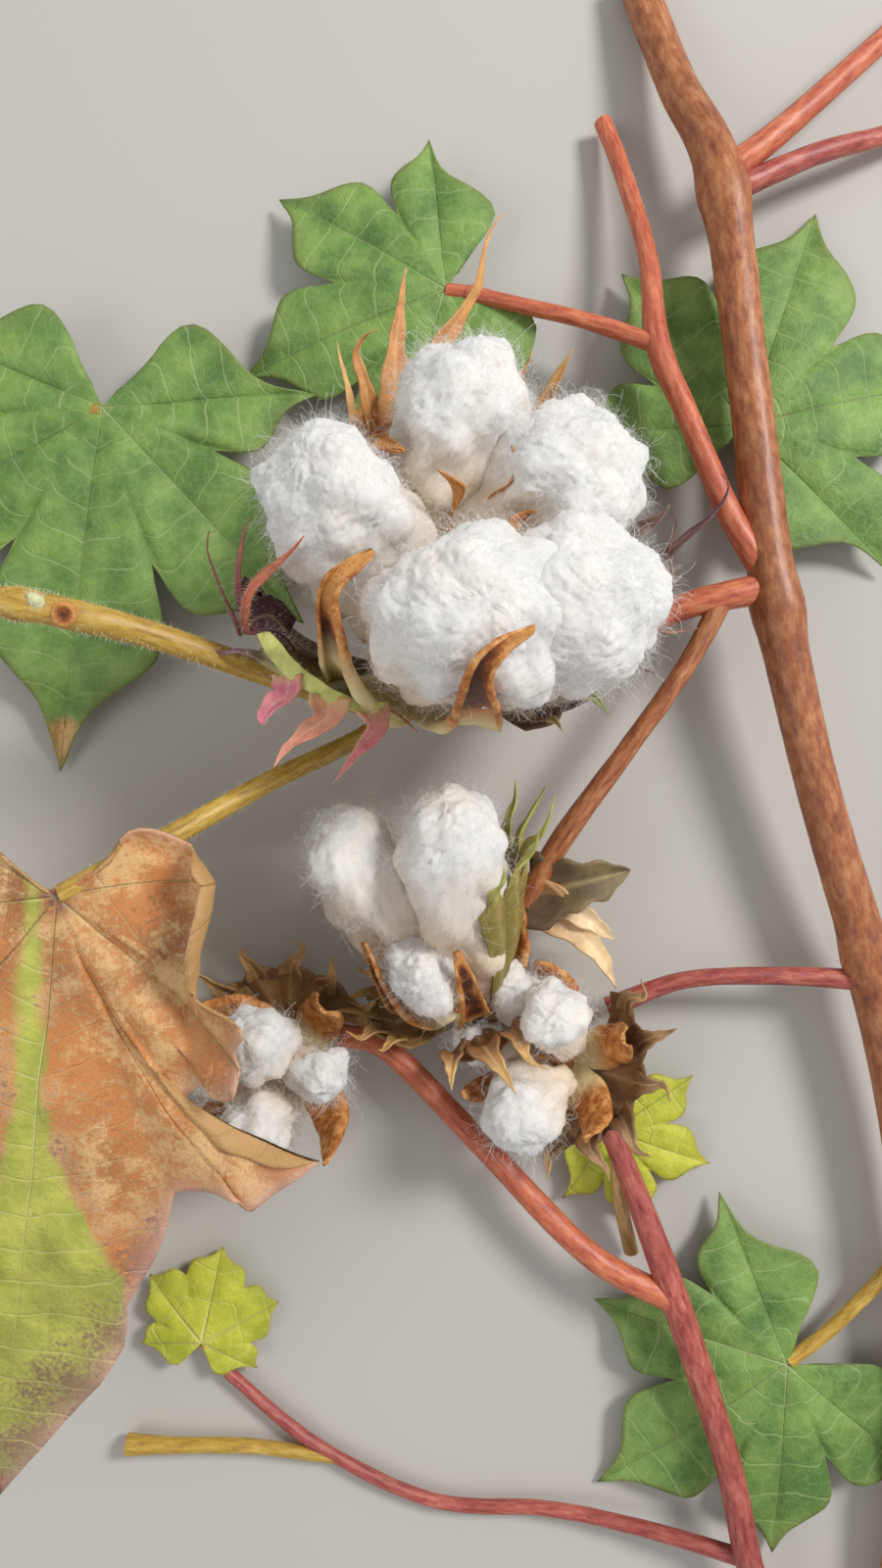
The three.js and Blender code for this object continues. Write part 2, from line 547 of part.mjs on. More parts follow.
const leaves = {
  dry_leaf: { finish: 'leafDry', junction: [-64.8, -19, 54], heading: 0, thickness: 1.3, facets: [4, 3],
    outline: {
      lobes: [
        { tip: [-33, 13], mid: [-15, 9], before: [[-27, 19], [-15, 13], [-9, 7]], after: [[-37, 9]] },
        { tip: [-56, -8], mid: [-28, -3], before: [[-49, 1]], after: [[-55, -16], [-44, -22]] },
        { tip: [-60, -63], mid: [-27, -33], before: [[-55, -48], [-44, -37]], after: [[-53, -66], [-43, -60]] },
        { tip: [-20.5, -118.5], mid: [-4, -52], before: [[-27, -105], [-38, -80], [-36, -66]],
          after: [[-9.5, -104.5], [3, -89.5], [9, -79.5], [9.5, -73], [15.5, -62.5]] },
        { tip: [44, -45.5], mid: [12, -38], before: [[39, -49.5], [32, -54], [27, -52], [20, -51.5]],
          after: [[37, -46], [26, -41]] },
        { tip: [32, -28], mid: [15, -12], before: [[30, -34], [25, -31.5]], after: [[32, -20.5], [27.5, -18]] },
        { tip: [27.5, 2.5], mid: [13, 3], before: [[27, -2], [25, -9.5]],
          after: [[24.5, 7.5], [17, 11.5], [12, 10.5], [9.5, 6]] }],
      notches: [[-3.5, 1.5], [-35, 3], [-38, -29], [-31, -53], [18, -53.5], [20, -35.5], [24.5, -13.5], [-1.5, 1]] },
    relief: (x, y) => -0.0019 * y * y - (x < 0 ? 0.004 : 0.0006) * x * x
      + 0.05 * Math.max(0, x - 20) ** 2 * Math.min(1, Math.max(0, (y + 26) / 8)),
    petiole: [[-10.5, 15.3, 11, 2.1], [-15.2, 9.7, 20, 1.9], [-31.3, 0.5, 38, 1.9], [-46, -8.5, 47.6, 2],
      [-58.2, -15.5, 52, 2.1], [-64.5, -18.8, 53.2, 1.8]] },
  left_leaf: { finish: 'leafGreen', junction: [-69.9, 77.8, 11], heading: -99, thickness: 1, facets: [2, 3],
    outline: palmate({ ...regularLeaf, lengths: [42, 58, 76, 60, 44] }), relief: droop(9, 74),
    petiole: [[-96, 33.3, 57.3, 1.8], [-110, 44, 42, 1.6], [-112, 60, 16, 1.6], [-98, 71, 6.4, 1.7],
      [-82, 75.4, 6.5, 1.7], [-70.5, 77.6, 10.2, 1.7]] },
  right_leaf: { finish: 'leafGreen', junction: [63.2, 74.8, 8.5], heading: 70, thickness: 1, facets: [2, 3],
    outline: palmate({ ...regularLeaf, fan: 56, lengths: [44, 46, 51, 42, 36] }), relief: droop(7.4, 50),
    petiole: [[66.6, 42, 17, 1.8], [65, 52, 10.5, 1.7], [63.6, 64, 7.4, 1.7], [63.2, 74.2, 7.8, 1.7]] },
  back_leaf: { finish: 'leafGreen', junction: [1, 102.6, 10], heading: 200, thickness: 1, facets: [2, 3],
    outline: palmate({ ...regularLeaf, lengths: [34, 42, 46, 42, 34] }), relief: droop(8.5, 46),
    petiole: [[6, 101.8, 9.9, 1.5], [3.5, 102.3, 9.7, 1.5], [1.2, 102.6, 9.4, 1.5]] },
  lower_leaf: { finish: 'leafGreen', junction: [73, -122.5, 6], heading: 215, thickness: 1, facets: [2, 3],
    outline: palmate({ ...regularLeaf, lengths: [38, 42, 48, 42, 38] }), relief: droop(4.6, 48),
    petiole: [[97.6, -95, 10.5, 1.7], [91, -106, 6.5, 1.5], [82, -116, 4.9, 1.5], [73.5, -122.2, 5.3, 1.5]] },
  yellow_leaf: { finish: 'leafYellow', junction: [36, -73.5, 4.6], heading: -20, thickness: 0.9, facets: [2, 3],
    outline: palmate({ ...regularLeaf, lengths: [18, 21, 23, 21, 18] }), relief: droop(2.8, 25),
    petiole: [[37.5, -78.5, 10.6, 1.2], [38.6, -77, 6.6, 1.1], [36.4, -74, 4.2, 1.1]] },
  small_leaf: { finish: 'leafYellow', junction: [-50.9, -118.8, 4.4], heading: 78, thickness: 0.8, facets: [2, 3],
    outline: palmate({ ...regularLeaf, notch: 0.8, lengths: [13, 18, 20, 18, 13] }), relief: droop(2.6, 21),
    petiole: [[-45.2, -126.4, 2.4, 1.1], [-48.4, -122.6, 2.6, 1.1], [-50.8, -119, 3.9, 1]] },
};

function leafSolid(leaf, extra) {
  return join([leafBlade(leaf, extra), tube(leaf.petiole, 6, 2, extra)]);
}

// The whole branch. Each piece is cut clear of the ones before it that it meets.

const pieces = [];
const plan = (name, finish, make) => pieces.push({ name, finish, make });

for (const [name, limb] of Object.entries(limbs)) {
  plan(name, limb.finish, (extra) => tube(limb.route, limb.sides, limb.steps, extra));
}
for (const [name, boll] of Object.entries(bolls)) {
  if (boll.stalk) plan(`${name}_stalk`, 'twig', (extra) => tube(boll.stalk, 8, 2, extra));
  plan(`${name}_burr`, 'burr', (extra) => burr(boll, extra));
  for (const [side, spec] of Object.entries(boll.bracts)) {
    plan(`${name}_bract_${side}`, 'bract', (extra) => bract(boll, spec, extra));
  }
  boll.locks.forEach((spec, i) => plan(`${name}_lock_${i + 1}`, 'lint', (extra) => lock(boll, spec, extra)));
}
for (const [name, leaf] of Object.entries(leaves)) {
  plan(name, leaf.finish, (extra) => leafSolid(leaf, extra));
}

const branch = new THREE.Group();
const fattened = [];
for (const { name, finish, make } of pieces) {
  let solid = make(0);
  for (const other of fattened) {
    const [a, b] = [solid.boundingBox(), other.boundingBox()];
    const apart = [0, 1, 2].some((k) => a.min[k] > b.max[k] || b.min[k] > a.max[k]);
    if (!apart) solid = solid.subtract(other);
  }
  solid = mainBody(mainBody(solid).simplify(finestDetail));
  fattened.push(make(clearance).add(solid));
  const [colour, roughness] = finishes[finish];
  const material = new THREE.MeshStandardMaterial({ color: colour, roughness, metalness: 0 });
  const mesh = new THREE.Mesh(geometryOf(solid), material);
  mesh.name = name;
  branch.add(mesh);
}
branch.position.set(...frameShift);

export default branch;
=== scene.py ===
import bpy
import json
import math
from functools import partial
import numpy as np
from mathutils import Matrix, Vector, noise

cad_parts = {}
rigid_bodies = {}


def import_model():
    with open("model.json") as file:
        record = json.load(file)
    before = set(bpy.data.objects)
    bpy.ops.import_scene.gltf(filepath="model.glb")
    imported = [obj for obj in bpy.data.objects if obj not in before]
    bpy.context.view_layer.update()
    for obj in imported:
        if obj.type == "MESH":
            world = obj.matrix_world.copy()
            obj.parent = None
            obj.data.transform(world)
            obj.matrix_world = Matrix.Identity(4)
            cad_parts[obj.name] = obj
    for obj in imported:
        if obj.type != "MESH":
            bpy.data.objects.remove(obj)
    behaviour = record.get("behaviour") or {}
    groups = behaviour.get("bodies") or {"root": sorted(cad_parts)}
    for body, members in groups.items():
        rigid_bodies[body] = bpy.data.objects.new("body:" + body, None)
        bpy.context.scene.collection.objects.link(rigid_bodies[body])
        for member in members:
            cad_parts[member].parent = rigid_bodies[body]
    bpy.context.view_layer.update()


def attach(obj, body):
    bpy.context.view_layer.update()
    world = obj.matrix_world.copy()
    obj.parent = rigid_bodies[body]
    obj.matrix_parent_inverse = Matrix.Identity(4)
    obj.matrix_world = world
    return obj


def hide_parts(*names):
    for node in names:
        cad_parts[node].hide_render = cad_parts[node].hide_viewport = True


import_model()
frameShift = np.array([7.55, 18.61, 0.0])  # mm
mm = 0.001  # in Blender's metres
rng = np.random.default_rng(7)
# The photo's camera: middle and long side of its 900×1600 pixels, and its lens, film and height in mm
view = {"middle": (450, 800), "long": 1600, "lens": 26, "film": 36, "height": 245}


# Colours are sRGB hex

def linear(hexColour):
    parts = [int(hexColour[i:i + 2], 16) / 255 for i in (1, 3, 5)]
    return tuple(c / 12.92 if c <= 0.04045 else ((c + 0.055) / 1.055) ** 2.4 for c in parts) + (1.0,)


def addNode(tree, kind, settings=None, links=None):
    # settings may be an operation alone; links go by the sockets' names or, in a list, by their places, so
    # that a map range's list is its value, then from and to
    node = tree.nodes.new(kind)
    for key, value in ({"operation": settings} if isinstance(settings, str) else settings or {}).items():
        if key == "stops":  # a colour ramp's places and colours
            ramp = node.color_ramp.elements
            while len(ramp) < len(value):
                ramp.new(0.5)
            for stop, (place, colour) in zip(ramp, value):
                stop.position = place
                stop.color = linear(colour)
        else:
            setattr(node, key, value)
    for key, values in enumerate(links) if isinstance(links, list) else (links or {}).items():
        socket = next(s for k, s in enumerate(node.inputs) if key in (k, s.name) and s.enabled)
        for value in values if isinstance(values, list) else [values]:  # a join takes several
            if isinstance(value, bpy.types.Node):
                value = next(s for s in value.outputs if s.enabled)
            if isinstance(value, bpy.types.NodeSocket):
                tree.links.new(value, socket)
            else:
                socket.default_value = value
    return node


def newMaterial(name):
    material = bpy.data.materials.new(name)
    material.use_nodes = True
    material.node_tree.nodes.clear()
    return material, partial(addNode, material.node_tree)


# Meshes from arrays of points in mm

def gridFaces(rows, columns, closed=False, start=0):
    i, j = np.meshgrid(np.arange(rows - 1), np.arange(columns if closed else columns - 1), indexing="ij")
    a = start + i * columns + j
    b = start + i * columns + (j + 1) % columns
    c, d = b + columns, a + columns
    quads = np.stack([a, d, c, b], -1).reshape(-1, 4)
    return np.concatenate([quads[:, [0, 1, 2]], quads[:, [0, 2, 3]]])


def weld(points, faces, values):
    # merges points that lie within a thousandth of a millimetre, and drops the faces that this closes up
    keys = np.round(points * 1e3).astype(np.int64)
    _, kept, inverse = np.unique(keys, axis=0, return_index=True, return_inverse=True)
    faces = inverse.reshape(-1)[faces]
    sound = (faces[:, 0] != faces[:, 1]) & (faces[:, 1] != faces[:, 2]) & (faces[:, 2] != faces[:, 0])
    return points[kept], faces[sound], {k: v[kept] for k, v in values.items()}


def normalsOf(points, faces):
    a, b, c = points[faces[:, 0]], points[faces[:, 1]], points[faces[:, 2]]
    flat = np.cross(b - a, c - a)
    normals = np.zeros_like(points)
    for k in range(3):
        np.add.at(normals, faces[:, k], flat)
    return normals / np.maximum(np.linalg.norm(normals, axis=1, keepdims=True), 1e-12)


def thicken(points, faces, thickness, values):
    # a closed blade: both sides half a thickness off the sheet, with a wall along its edge
    normals = normalsOf(points, faces)
    count = len(points)
    half = np.broadcast_to(np.asarray(thickness, float) / 2, (count,))[:, None]
    edges = np.concatenate([faces[:, [0, 1]], faces[:, [1, 2]], faces[:, [2, 0]]])
    codes = edges[:, 0] * count + edges[:, 1]
    loose = edges[~np.isin(codes, edges[:, 1] * count + edges[:, 0])]
    a, b = loose[:, 0], loose[:, 1]
    walls = np.concatenate([np.stack([b, a, a + count], -1), np.stack([b, a + count, b + count], -1)])
    both = {k: np.concatenate([v, v]) for k, v in values.items()}
    both["upside"] = np.concatenate([np.ones(count), np.zeros(count)])
    return (np.concatenate([points + normals * half, points - normals * half]),
            np.concatenate([faces, faces[:, ::-1] + count, walls]), both)


def makeObject(name, parts, material):
    # parts: (points, faces, values), joined in one object at the origin
    points = np.concatenate([p for p, _, _ in parts])
    offsets = np.cumsum([0] + [len(p) for p, _, _ in parts[:-1]])
    faces = np.concatenate([f + o for (_, f, _), o in zip(parts, offsets)])
    mesh = bpy.data.meshes.new(name)
    mesh.from_pydata(((points + frameShift) * mm).tolist(), [], faces.tolist())
    for key in parts[0][2]:
        data = np.concatenate([v[key] for _, _, v in parts])
        wide = data.ndim == 2
        layer = mesh.attributes.new(key, "FLOAT_COLOR" if wide else "FLOAT", "POINT")
        layer.data.foreach_set("color" if wide else "value", data.astype(np.float32).ravel())
    mesh.materials.append(material)
    mesh.shade_smooth()
    obj = bpy.data.objects.new(name, mesh)
    bpy.context.scene.collection.objects.link(obj)
    return obj


def place(obj, slotName, *nodes):
    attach(obj, "root")
    if nodes:
        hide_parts(*nodes)


# Runs a Geometry Nodes tree on an object and keeps the result as its plain mesh

def applyTree(obj, tree, inputs):
    modifier = obj.modifiers.new(tree.name, "NODES")
    modifier.node_group = tree
    for item in tree.interface.items_tree:
        if item.item_type == "SOCKET" and item.in_out == "INPUT" and item.name in inputs:
            modifier[item.identifier] = inputs[item.name]
    evaluated = obj.evaluated_get(bpy.context.evaluated_depsgraph_get())
    mesh = bpy.data.meshes.new_from_object(evaluated)
    obj.modifiers.remove(modifier)
    obj.data = mesh
    return obj


def newTree(name, inputs):
    tree = bpy.data.node_groups.new(name, "GeometryNodeTree")
    kinds = {float: "NodeSocketFloat", int: "NodeSocketInt"}
    for key, value in inputs.items():
        kind = kinds.get(type(value), value)
        socket = tree.interface.new_socket(name=key, in_out="INPUT", socket_type=kind)
        if type(value) in kinds:
            socket.default_value = value
    tree.interface.new_socket(name="Geometry", in_out="OUTPUT", socket_type="NodeSocketGeometry")
    add = partial(addNode, tree)
    return tree, add("NodeGroupInput").outputs, add


def smoothLine(points, count, even=False):
    # Catmull-Rom through the points; even spaces the result along its length
    p = np.asarray(points, float)
    p = np.concatenate([[2 * p[0] - p[1]], p, [2 * p[-1] - p[-2]]])
    spans = len(p) - 3
    t = np.linspace(0, spans, (count * 8 if even else count))
    k = np.minimum(t.astype(int), spans - 1)
    u = (t - k)[:, None]
    a, b, c, d = p[k], p[k + 1], p[k + 2], p[k + 3]
    line = (2 * b + (c - a) * u + (2 * a - 5 * b + 4 * c - d) * u ** 2 + (3 * b - a - 3 * c + d) * u ** 3) / 2
    if not even:
        return line
    lengths = np.concatenate([[0], np.cumsum(np.linalg.norm(np.diff(line[:, :3], axis=0), axis=1))])
    wanted = np.linspace(0, lengths[-1], count)
    return np.stack([np.interp(wanted, lengths, line[:, m]) for m in range(line.shape[1])], -1)


def seen(places, heights):
    # places read on the photo, (across, down) in pixels, as points in mm; heights follow the line
    offsets = (np.array(places, float) - view["middle"]) * (1, -1)
    run = np.append(0, np.cumsum(np.linalg.norm(np.diff(offsets, axis=0), axis=1)))
    height = np.interp(run / run[-1], np.linspace(0, 1, len(heights)), heights)[:, None]
    scale = (view["height"] - height) * view["film"] / view["lens"] / view["long"]
    return np.hstack([offsets * scale, height])


def lumps(points, size, seed=0):
    # soft noise at a size in mm, about -1 to 1
    return np.array([noise.noise(Vector(p / size + seed * 3.7)) for p in points])


print("stage: helpers ready")


# Materials

# Bark of a young cotton stem: thin, smooth and satin, grown in lengthwise streaks with small pale
# corky dots. It gives a soft lengthwise grain and a low waxy shine.
barkStyle = {
    "rust": {"deep": "#74402E", "base": "#AC6840", "lit": "#CC9060", "dot": "#D9A67C"},
    "coral": {"deep": "#A0483A", "base": "#D0704E", "lit": "#E69468", "dot": "#E8B08C"},
    "wine": {"deep": "#7E3232", "base": "#B45A50", "lit": "#CE7E68", "dot": "#DCA890"},
    "olive": {"deep": "#9A7430", "base": "#C6A042", "lit": "#DEC068", "dot": "#A06A38"},
    "straw": {"deep": "#9A7844", "base": "#C8A468", "lit": "#DEC28C", "dot": "#8A6238"},
}


def barkMaterial(style):
    material, add = newMaterial(f"bark_{style}")
    colours = barkStyle[style]
    rim = add("ShaderNodeAttribute", {"attribute_name": "rim"})
    along = add("ShaderNodeAttribute", {"attribute_name": "along"})
    parts = add("ShaderNodeSeparateXYZ", links={"Vector": rim.outputs["Vector"]})
    # streaks run about 11 mm for each turn of the pattern
    stretched = add("ShaderNodeMath", "MULTIPLY", [along.outputs["Fac"], 0.09])
    grain = add("ShaderNodeCombineXYZ", links=[parts.outputs["X"], parts.outputs["Y"], stretched])
    streaks = add("ShaderNodeTexNoise", links={
        "Vector": grain, "Scale": 2.6, "Detail": 6.0, "Roughness": 0.65})
    tone = add("ShaderNodeValToRGB", {"stops": [
        (0.3, colours["deep"]), (0.5, colours["base"]), (0.68, colours["lit"])]}, [streaks])
    place3d = add("ShaderNodeTexCoord").outputs["Object"]
    dots = add("ShaderNodeTexVoronoi", links={"Vector": place3d, "Scale": 620.0})  # corky dots, 1.6 mm apart
    dotMask = add("ShaderNodeMapRange", links=[dots, 0.08, 0.17, 0.35, 0.0])
    dotted = add("ShaderNodeMix", {"data_type": "RGBA"}, {
        "Factor": dotMask, "A": tone, "B": linear(colours["dot"])})
    # weathering in patches of 22 mm
    patches = add("ShaderNodeTexNoise", links={"Vector": place3d, "Scale": 45.0, "Detail": 3.0})
    weather = add("ShaderNodeMapRange", links=[patches, 0.35, 0.7, 0.0, 0.45])
    worn = add("ShaderNodeMix", {"data_type": "RGBA"}, {
        "Factor": weather, "A": dotted, "B": linear(colours["deep"])})
    relief = add("ShaderNodeBump", links={"Height": streaks, "Strength": 0.5, "Distance": 0.00025})
    add("ShaderNodeOutputMaterial", links=[add("ShaderNodeBsdfPrincipled", links={
        "Base Color": worn, "Roughness": 0.4, "IOR": 1.46, "Normal": relief})])
    return material


# Cotton lint: dry cellulose fibre, bright white, with cream in loose patches and a warm cream painted shade
# towards each lock's foot, deep in the boll. It is wholly matt, lets light through its edges, and shows
# tangled curls a millimetre or two across.
def lintMaterial(name, colours, tangled):
    material, add = newMaterial(name)
    place3d = add("ShaderNodeTexCoord").outputs["Object"]
    cloud = add("ShaderNodeTexNoise", links={"Vector": place3d, "Scale": 90.0, "Detail": 4.0})
    tone = add("ShaderNodeValToRGB", {"stops": [(0.35, colours[0]), (0.65, colours[1])]}, [cloud])
    # creamy is a warm cream painted shade towards each lock's foot, deep in the boll; the clouds add loose
    # cream patches
    pressed = add("ShaderNodeAttribute", {"attribute_name": "creamy"}).outputs["Fac"]
    clouded = add("ShaderNodeMath", "MULTIPLY_ADD", [cloud, 1.2, -0.55])
    clouded = add("ShaderNodeMath", "MULTIPLY_ADD", [pressed, 1.3, clouded])
    creamy = add("ShaderNodeMath", "MAXIMUM", [pressed, clouded])
    creamShaded = add("ShaderNodeMix", {"data_type": "RGBA"}, {
        "Factor": creamy, "A": tone, "B": linear("#EFD9BC")})
    links = {"Base Color": creamShaded, "Roughness": 0.9, "IOR": 1.5, "Specular IOR Level": 0.2,
             "Sheen Weight": 0.2, "Sheen Roughness": 0.5}
    if tangled:
        swirl = add("ShaderNodeTexNoise", links={
            "Vector": place3d, "Scale": 700.0, "Detail": 5.0, "Roughness": 0.7, "Distortion": 2.2})
        strands = add("ShaderNodeTexNoise", links={
            "Vector": place3d, "Scale": 1900.0, "Detail": 3.0, "Roughness": 0.6, "Distortion": 4.0})  # 0.5 mm
        fuzz = add("ShaderNodeMath", "MULTIPLY_ADD", [strands, 0.5, swirl])
        links["Normal"] = add("ShaderNodeBump", links={"Height": fuzz, "Strength": 0.5, "Distance": 0.0004})
        links |= {"Subsurface Weight": 0.4, "Subsurface Radius": (1.0, 1.0, 1.0), "Subsurface Scale": 0.002}
    add("ShaderNodeOutputMaterial", links=[add("ShaderNodeBsdfPrincipled", links=links)])
    return material


# Dried burr valve: hard papery husk, split and rolled as it dried. Its hollow is dark brown and
# shiny, darkened further by painted shade towards the channel's middle; its rolled rim is bleached tan to
# orange, with fine wrinkles across it.
huskStyle = {"hollow": "#47220F", "middle": "#9A5626", "rim": "#D0924E", "roll": "#C98242", "back": "#E6B273",
             "pale": "#E9D8A2", "speck": "#6B3A1E"}


def huskMaterial():
    material, add = newMaterial("dried_husk")
    hollow, pale, upside = (add("ShaderNodeAttribute", {"attribute_name": key}).outputs["Fac"]
                            for key in ("hollow", "pale", "upside"))
    place3d = add("ShaderNodeTexCoord").outputs["Object"]
    # mottling about 2 mm across
    mottle = add("ShaderNodeTexNoise", links={
        "Vector": place3d, "Scale": 420.0, "Detail": 6.0, "Roughness": 0.7})
    wander = add("ShaderNodeMapRange", links=[mottle, 0.25, 0.75, -0.3, 0.3])
    # the ramp darkens towards a valve's middle: the dried husk's own brown, deepened by painted shade of the
    # hollow
    depth = add("ShaderNodeMath", "ADD", [hollow, wander])
    inside = add("ShaderNodeValToRGB", {"stops": [
        (0.3, huskStyle["rim"]), (0.62, huskStyle["middle"]), (0.95, huskStyle["hollow"])]}, [depth])
    specks = add("ShaderNodeTexVoronoi", links={"Vector": place3d, "Scale": 1500.0})  # pits 0.7 mm apart
    speckMask = add("ShaderNodeMapRange", links=[specks, 0.15, 0.4, 0.45, 0.0])
    speckled = add("ShaderNodeMix", {"data_type": "RGBA"}, {
        "Factor": speckMask, "A": inside, "B": linear(huskStyle["speck"])})
    roll = add("ShaderNodeValToRGB", {"stops": [
        (0.36, huskStyle["middle"]), (0.5, huskStyle["roll"]), (0.64, huskStyle["back"])]}, [mottle])
    both = add("ShaderNodeMix", {"data_type": "RGBA"}, {"Factor": upside, "A": roll, "B": speckled})
    footed = add("ShaderNodeMix", {"data_type": "RGBA"}, {
        "Factor": pale, "A": both, "B": linear(huskStyle["pale"])})
    relief = add("ShaderNodeBump", links={"Height": mottle, "Strength": 0.8, "Distance": 0.0005})
    add("ShaderNodeOutputMaterial", links=[add("ShaderNodeBsdfPrincipled", links={
        "Base Color": footed, "Roughness": 0.55, "IOR": 1.45, "Normal": relief})])
    return material


# Bract: a thin leafy blade, fresh to dry, veined towards each tooth. Colours have their place, so
# each tooth carries its own tint, and the pattern only darkens and lightens it.
def bractMaterial():
    material, add = newMaterial("bract_blade")
    tint = add("ShaderNodeAttribute", {"attribute_name": "tint"}).outputs["Color"]
    ribs = add("ShaderNodeAttribute", {"attribute_name": "ribs"}).outputs["Fac"]
    place3d = add("ShaderNodeTexCoord").outputs["Object"]
    # mottling about 3 mm across
    mottle = add("ShaderNodeTexNoise", links={
        "Vector": place3d, "Scale": 330.0, "Detail": 5.0, "Roughness": 0.65})
    shade = add("ShaderNodeMapRange", links=[mottle, 0.3, 0.7, 0.72, 1.25])
    toned = add("ShaderNodeMix", {"data_type": "RGBA", "blend_type": "MULTIPLY"}, {
        "Factor": 1.0, "A": tint, "B": shade})
    ribbed = add("ShaderNodeMix", {"data_type": "RGBA", "blend_type": "SCREEN"}, {
        "Factor": ribs, "A": toned, "B": linear("#8A7A54")})
    relief = add("ShaderNodeBump", links={"Height": mottle, "Strength": 0.5, "Distance": 0.0004})
    add("ShaderNodeOutputMaterial", links=[add("ShaderNodeBsdfPrincipled", links={
        "Base Color": ribbed, "Roughness": 0.58, "IOR": 1.45, "Normal": relief})])
    return material


# Leaf blade: soft, slightly waxy, with pale sunken veins on green ones and brittle brown patches
# on dry ones. Veins follow each half lobe's own run along its vein and distance off it, in mm.
leafStyle = {
    "green": {"low": "#557A38", "high": "#86A852", "vein": "#C2CF92", "under": "#93AA74",
              "dry": "#B0743C", "speck": "#6E4226", "rim": "#7E8A48"},
    "yellow": {"low": "#A2AE2A", "high": "#D9D848", "vein": "#EBE68E", "under": "#BEC05C",
               "dry": "#A8883A", "speck": "#9A8A30", "rim": "#A89A3C"},
    "dry": {"low": "#969C3C", "high": "#C6C858", "vein": "#E4DC90", "under": "#C2965F",
            "dry": "#C98248", "speck": "#5C332C", "rim": "#DDB29C"},
}
# Widths of main and side veins and how far side veins stand apart, in mm, with how steeply they slant, how
# strongly they show and how a main vein starts before it thins to its tip
leafVeins = {"main": 0.62, "side": 0.34, "apart": 6.5, "slant": 0.75, "faint": 0.42, "taper": 1.35}


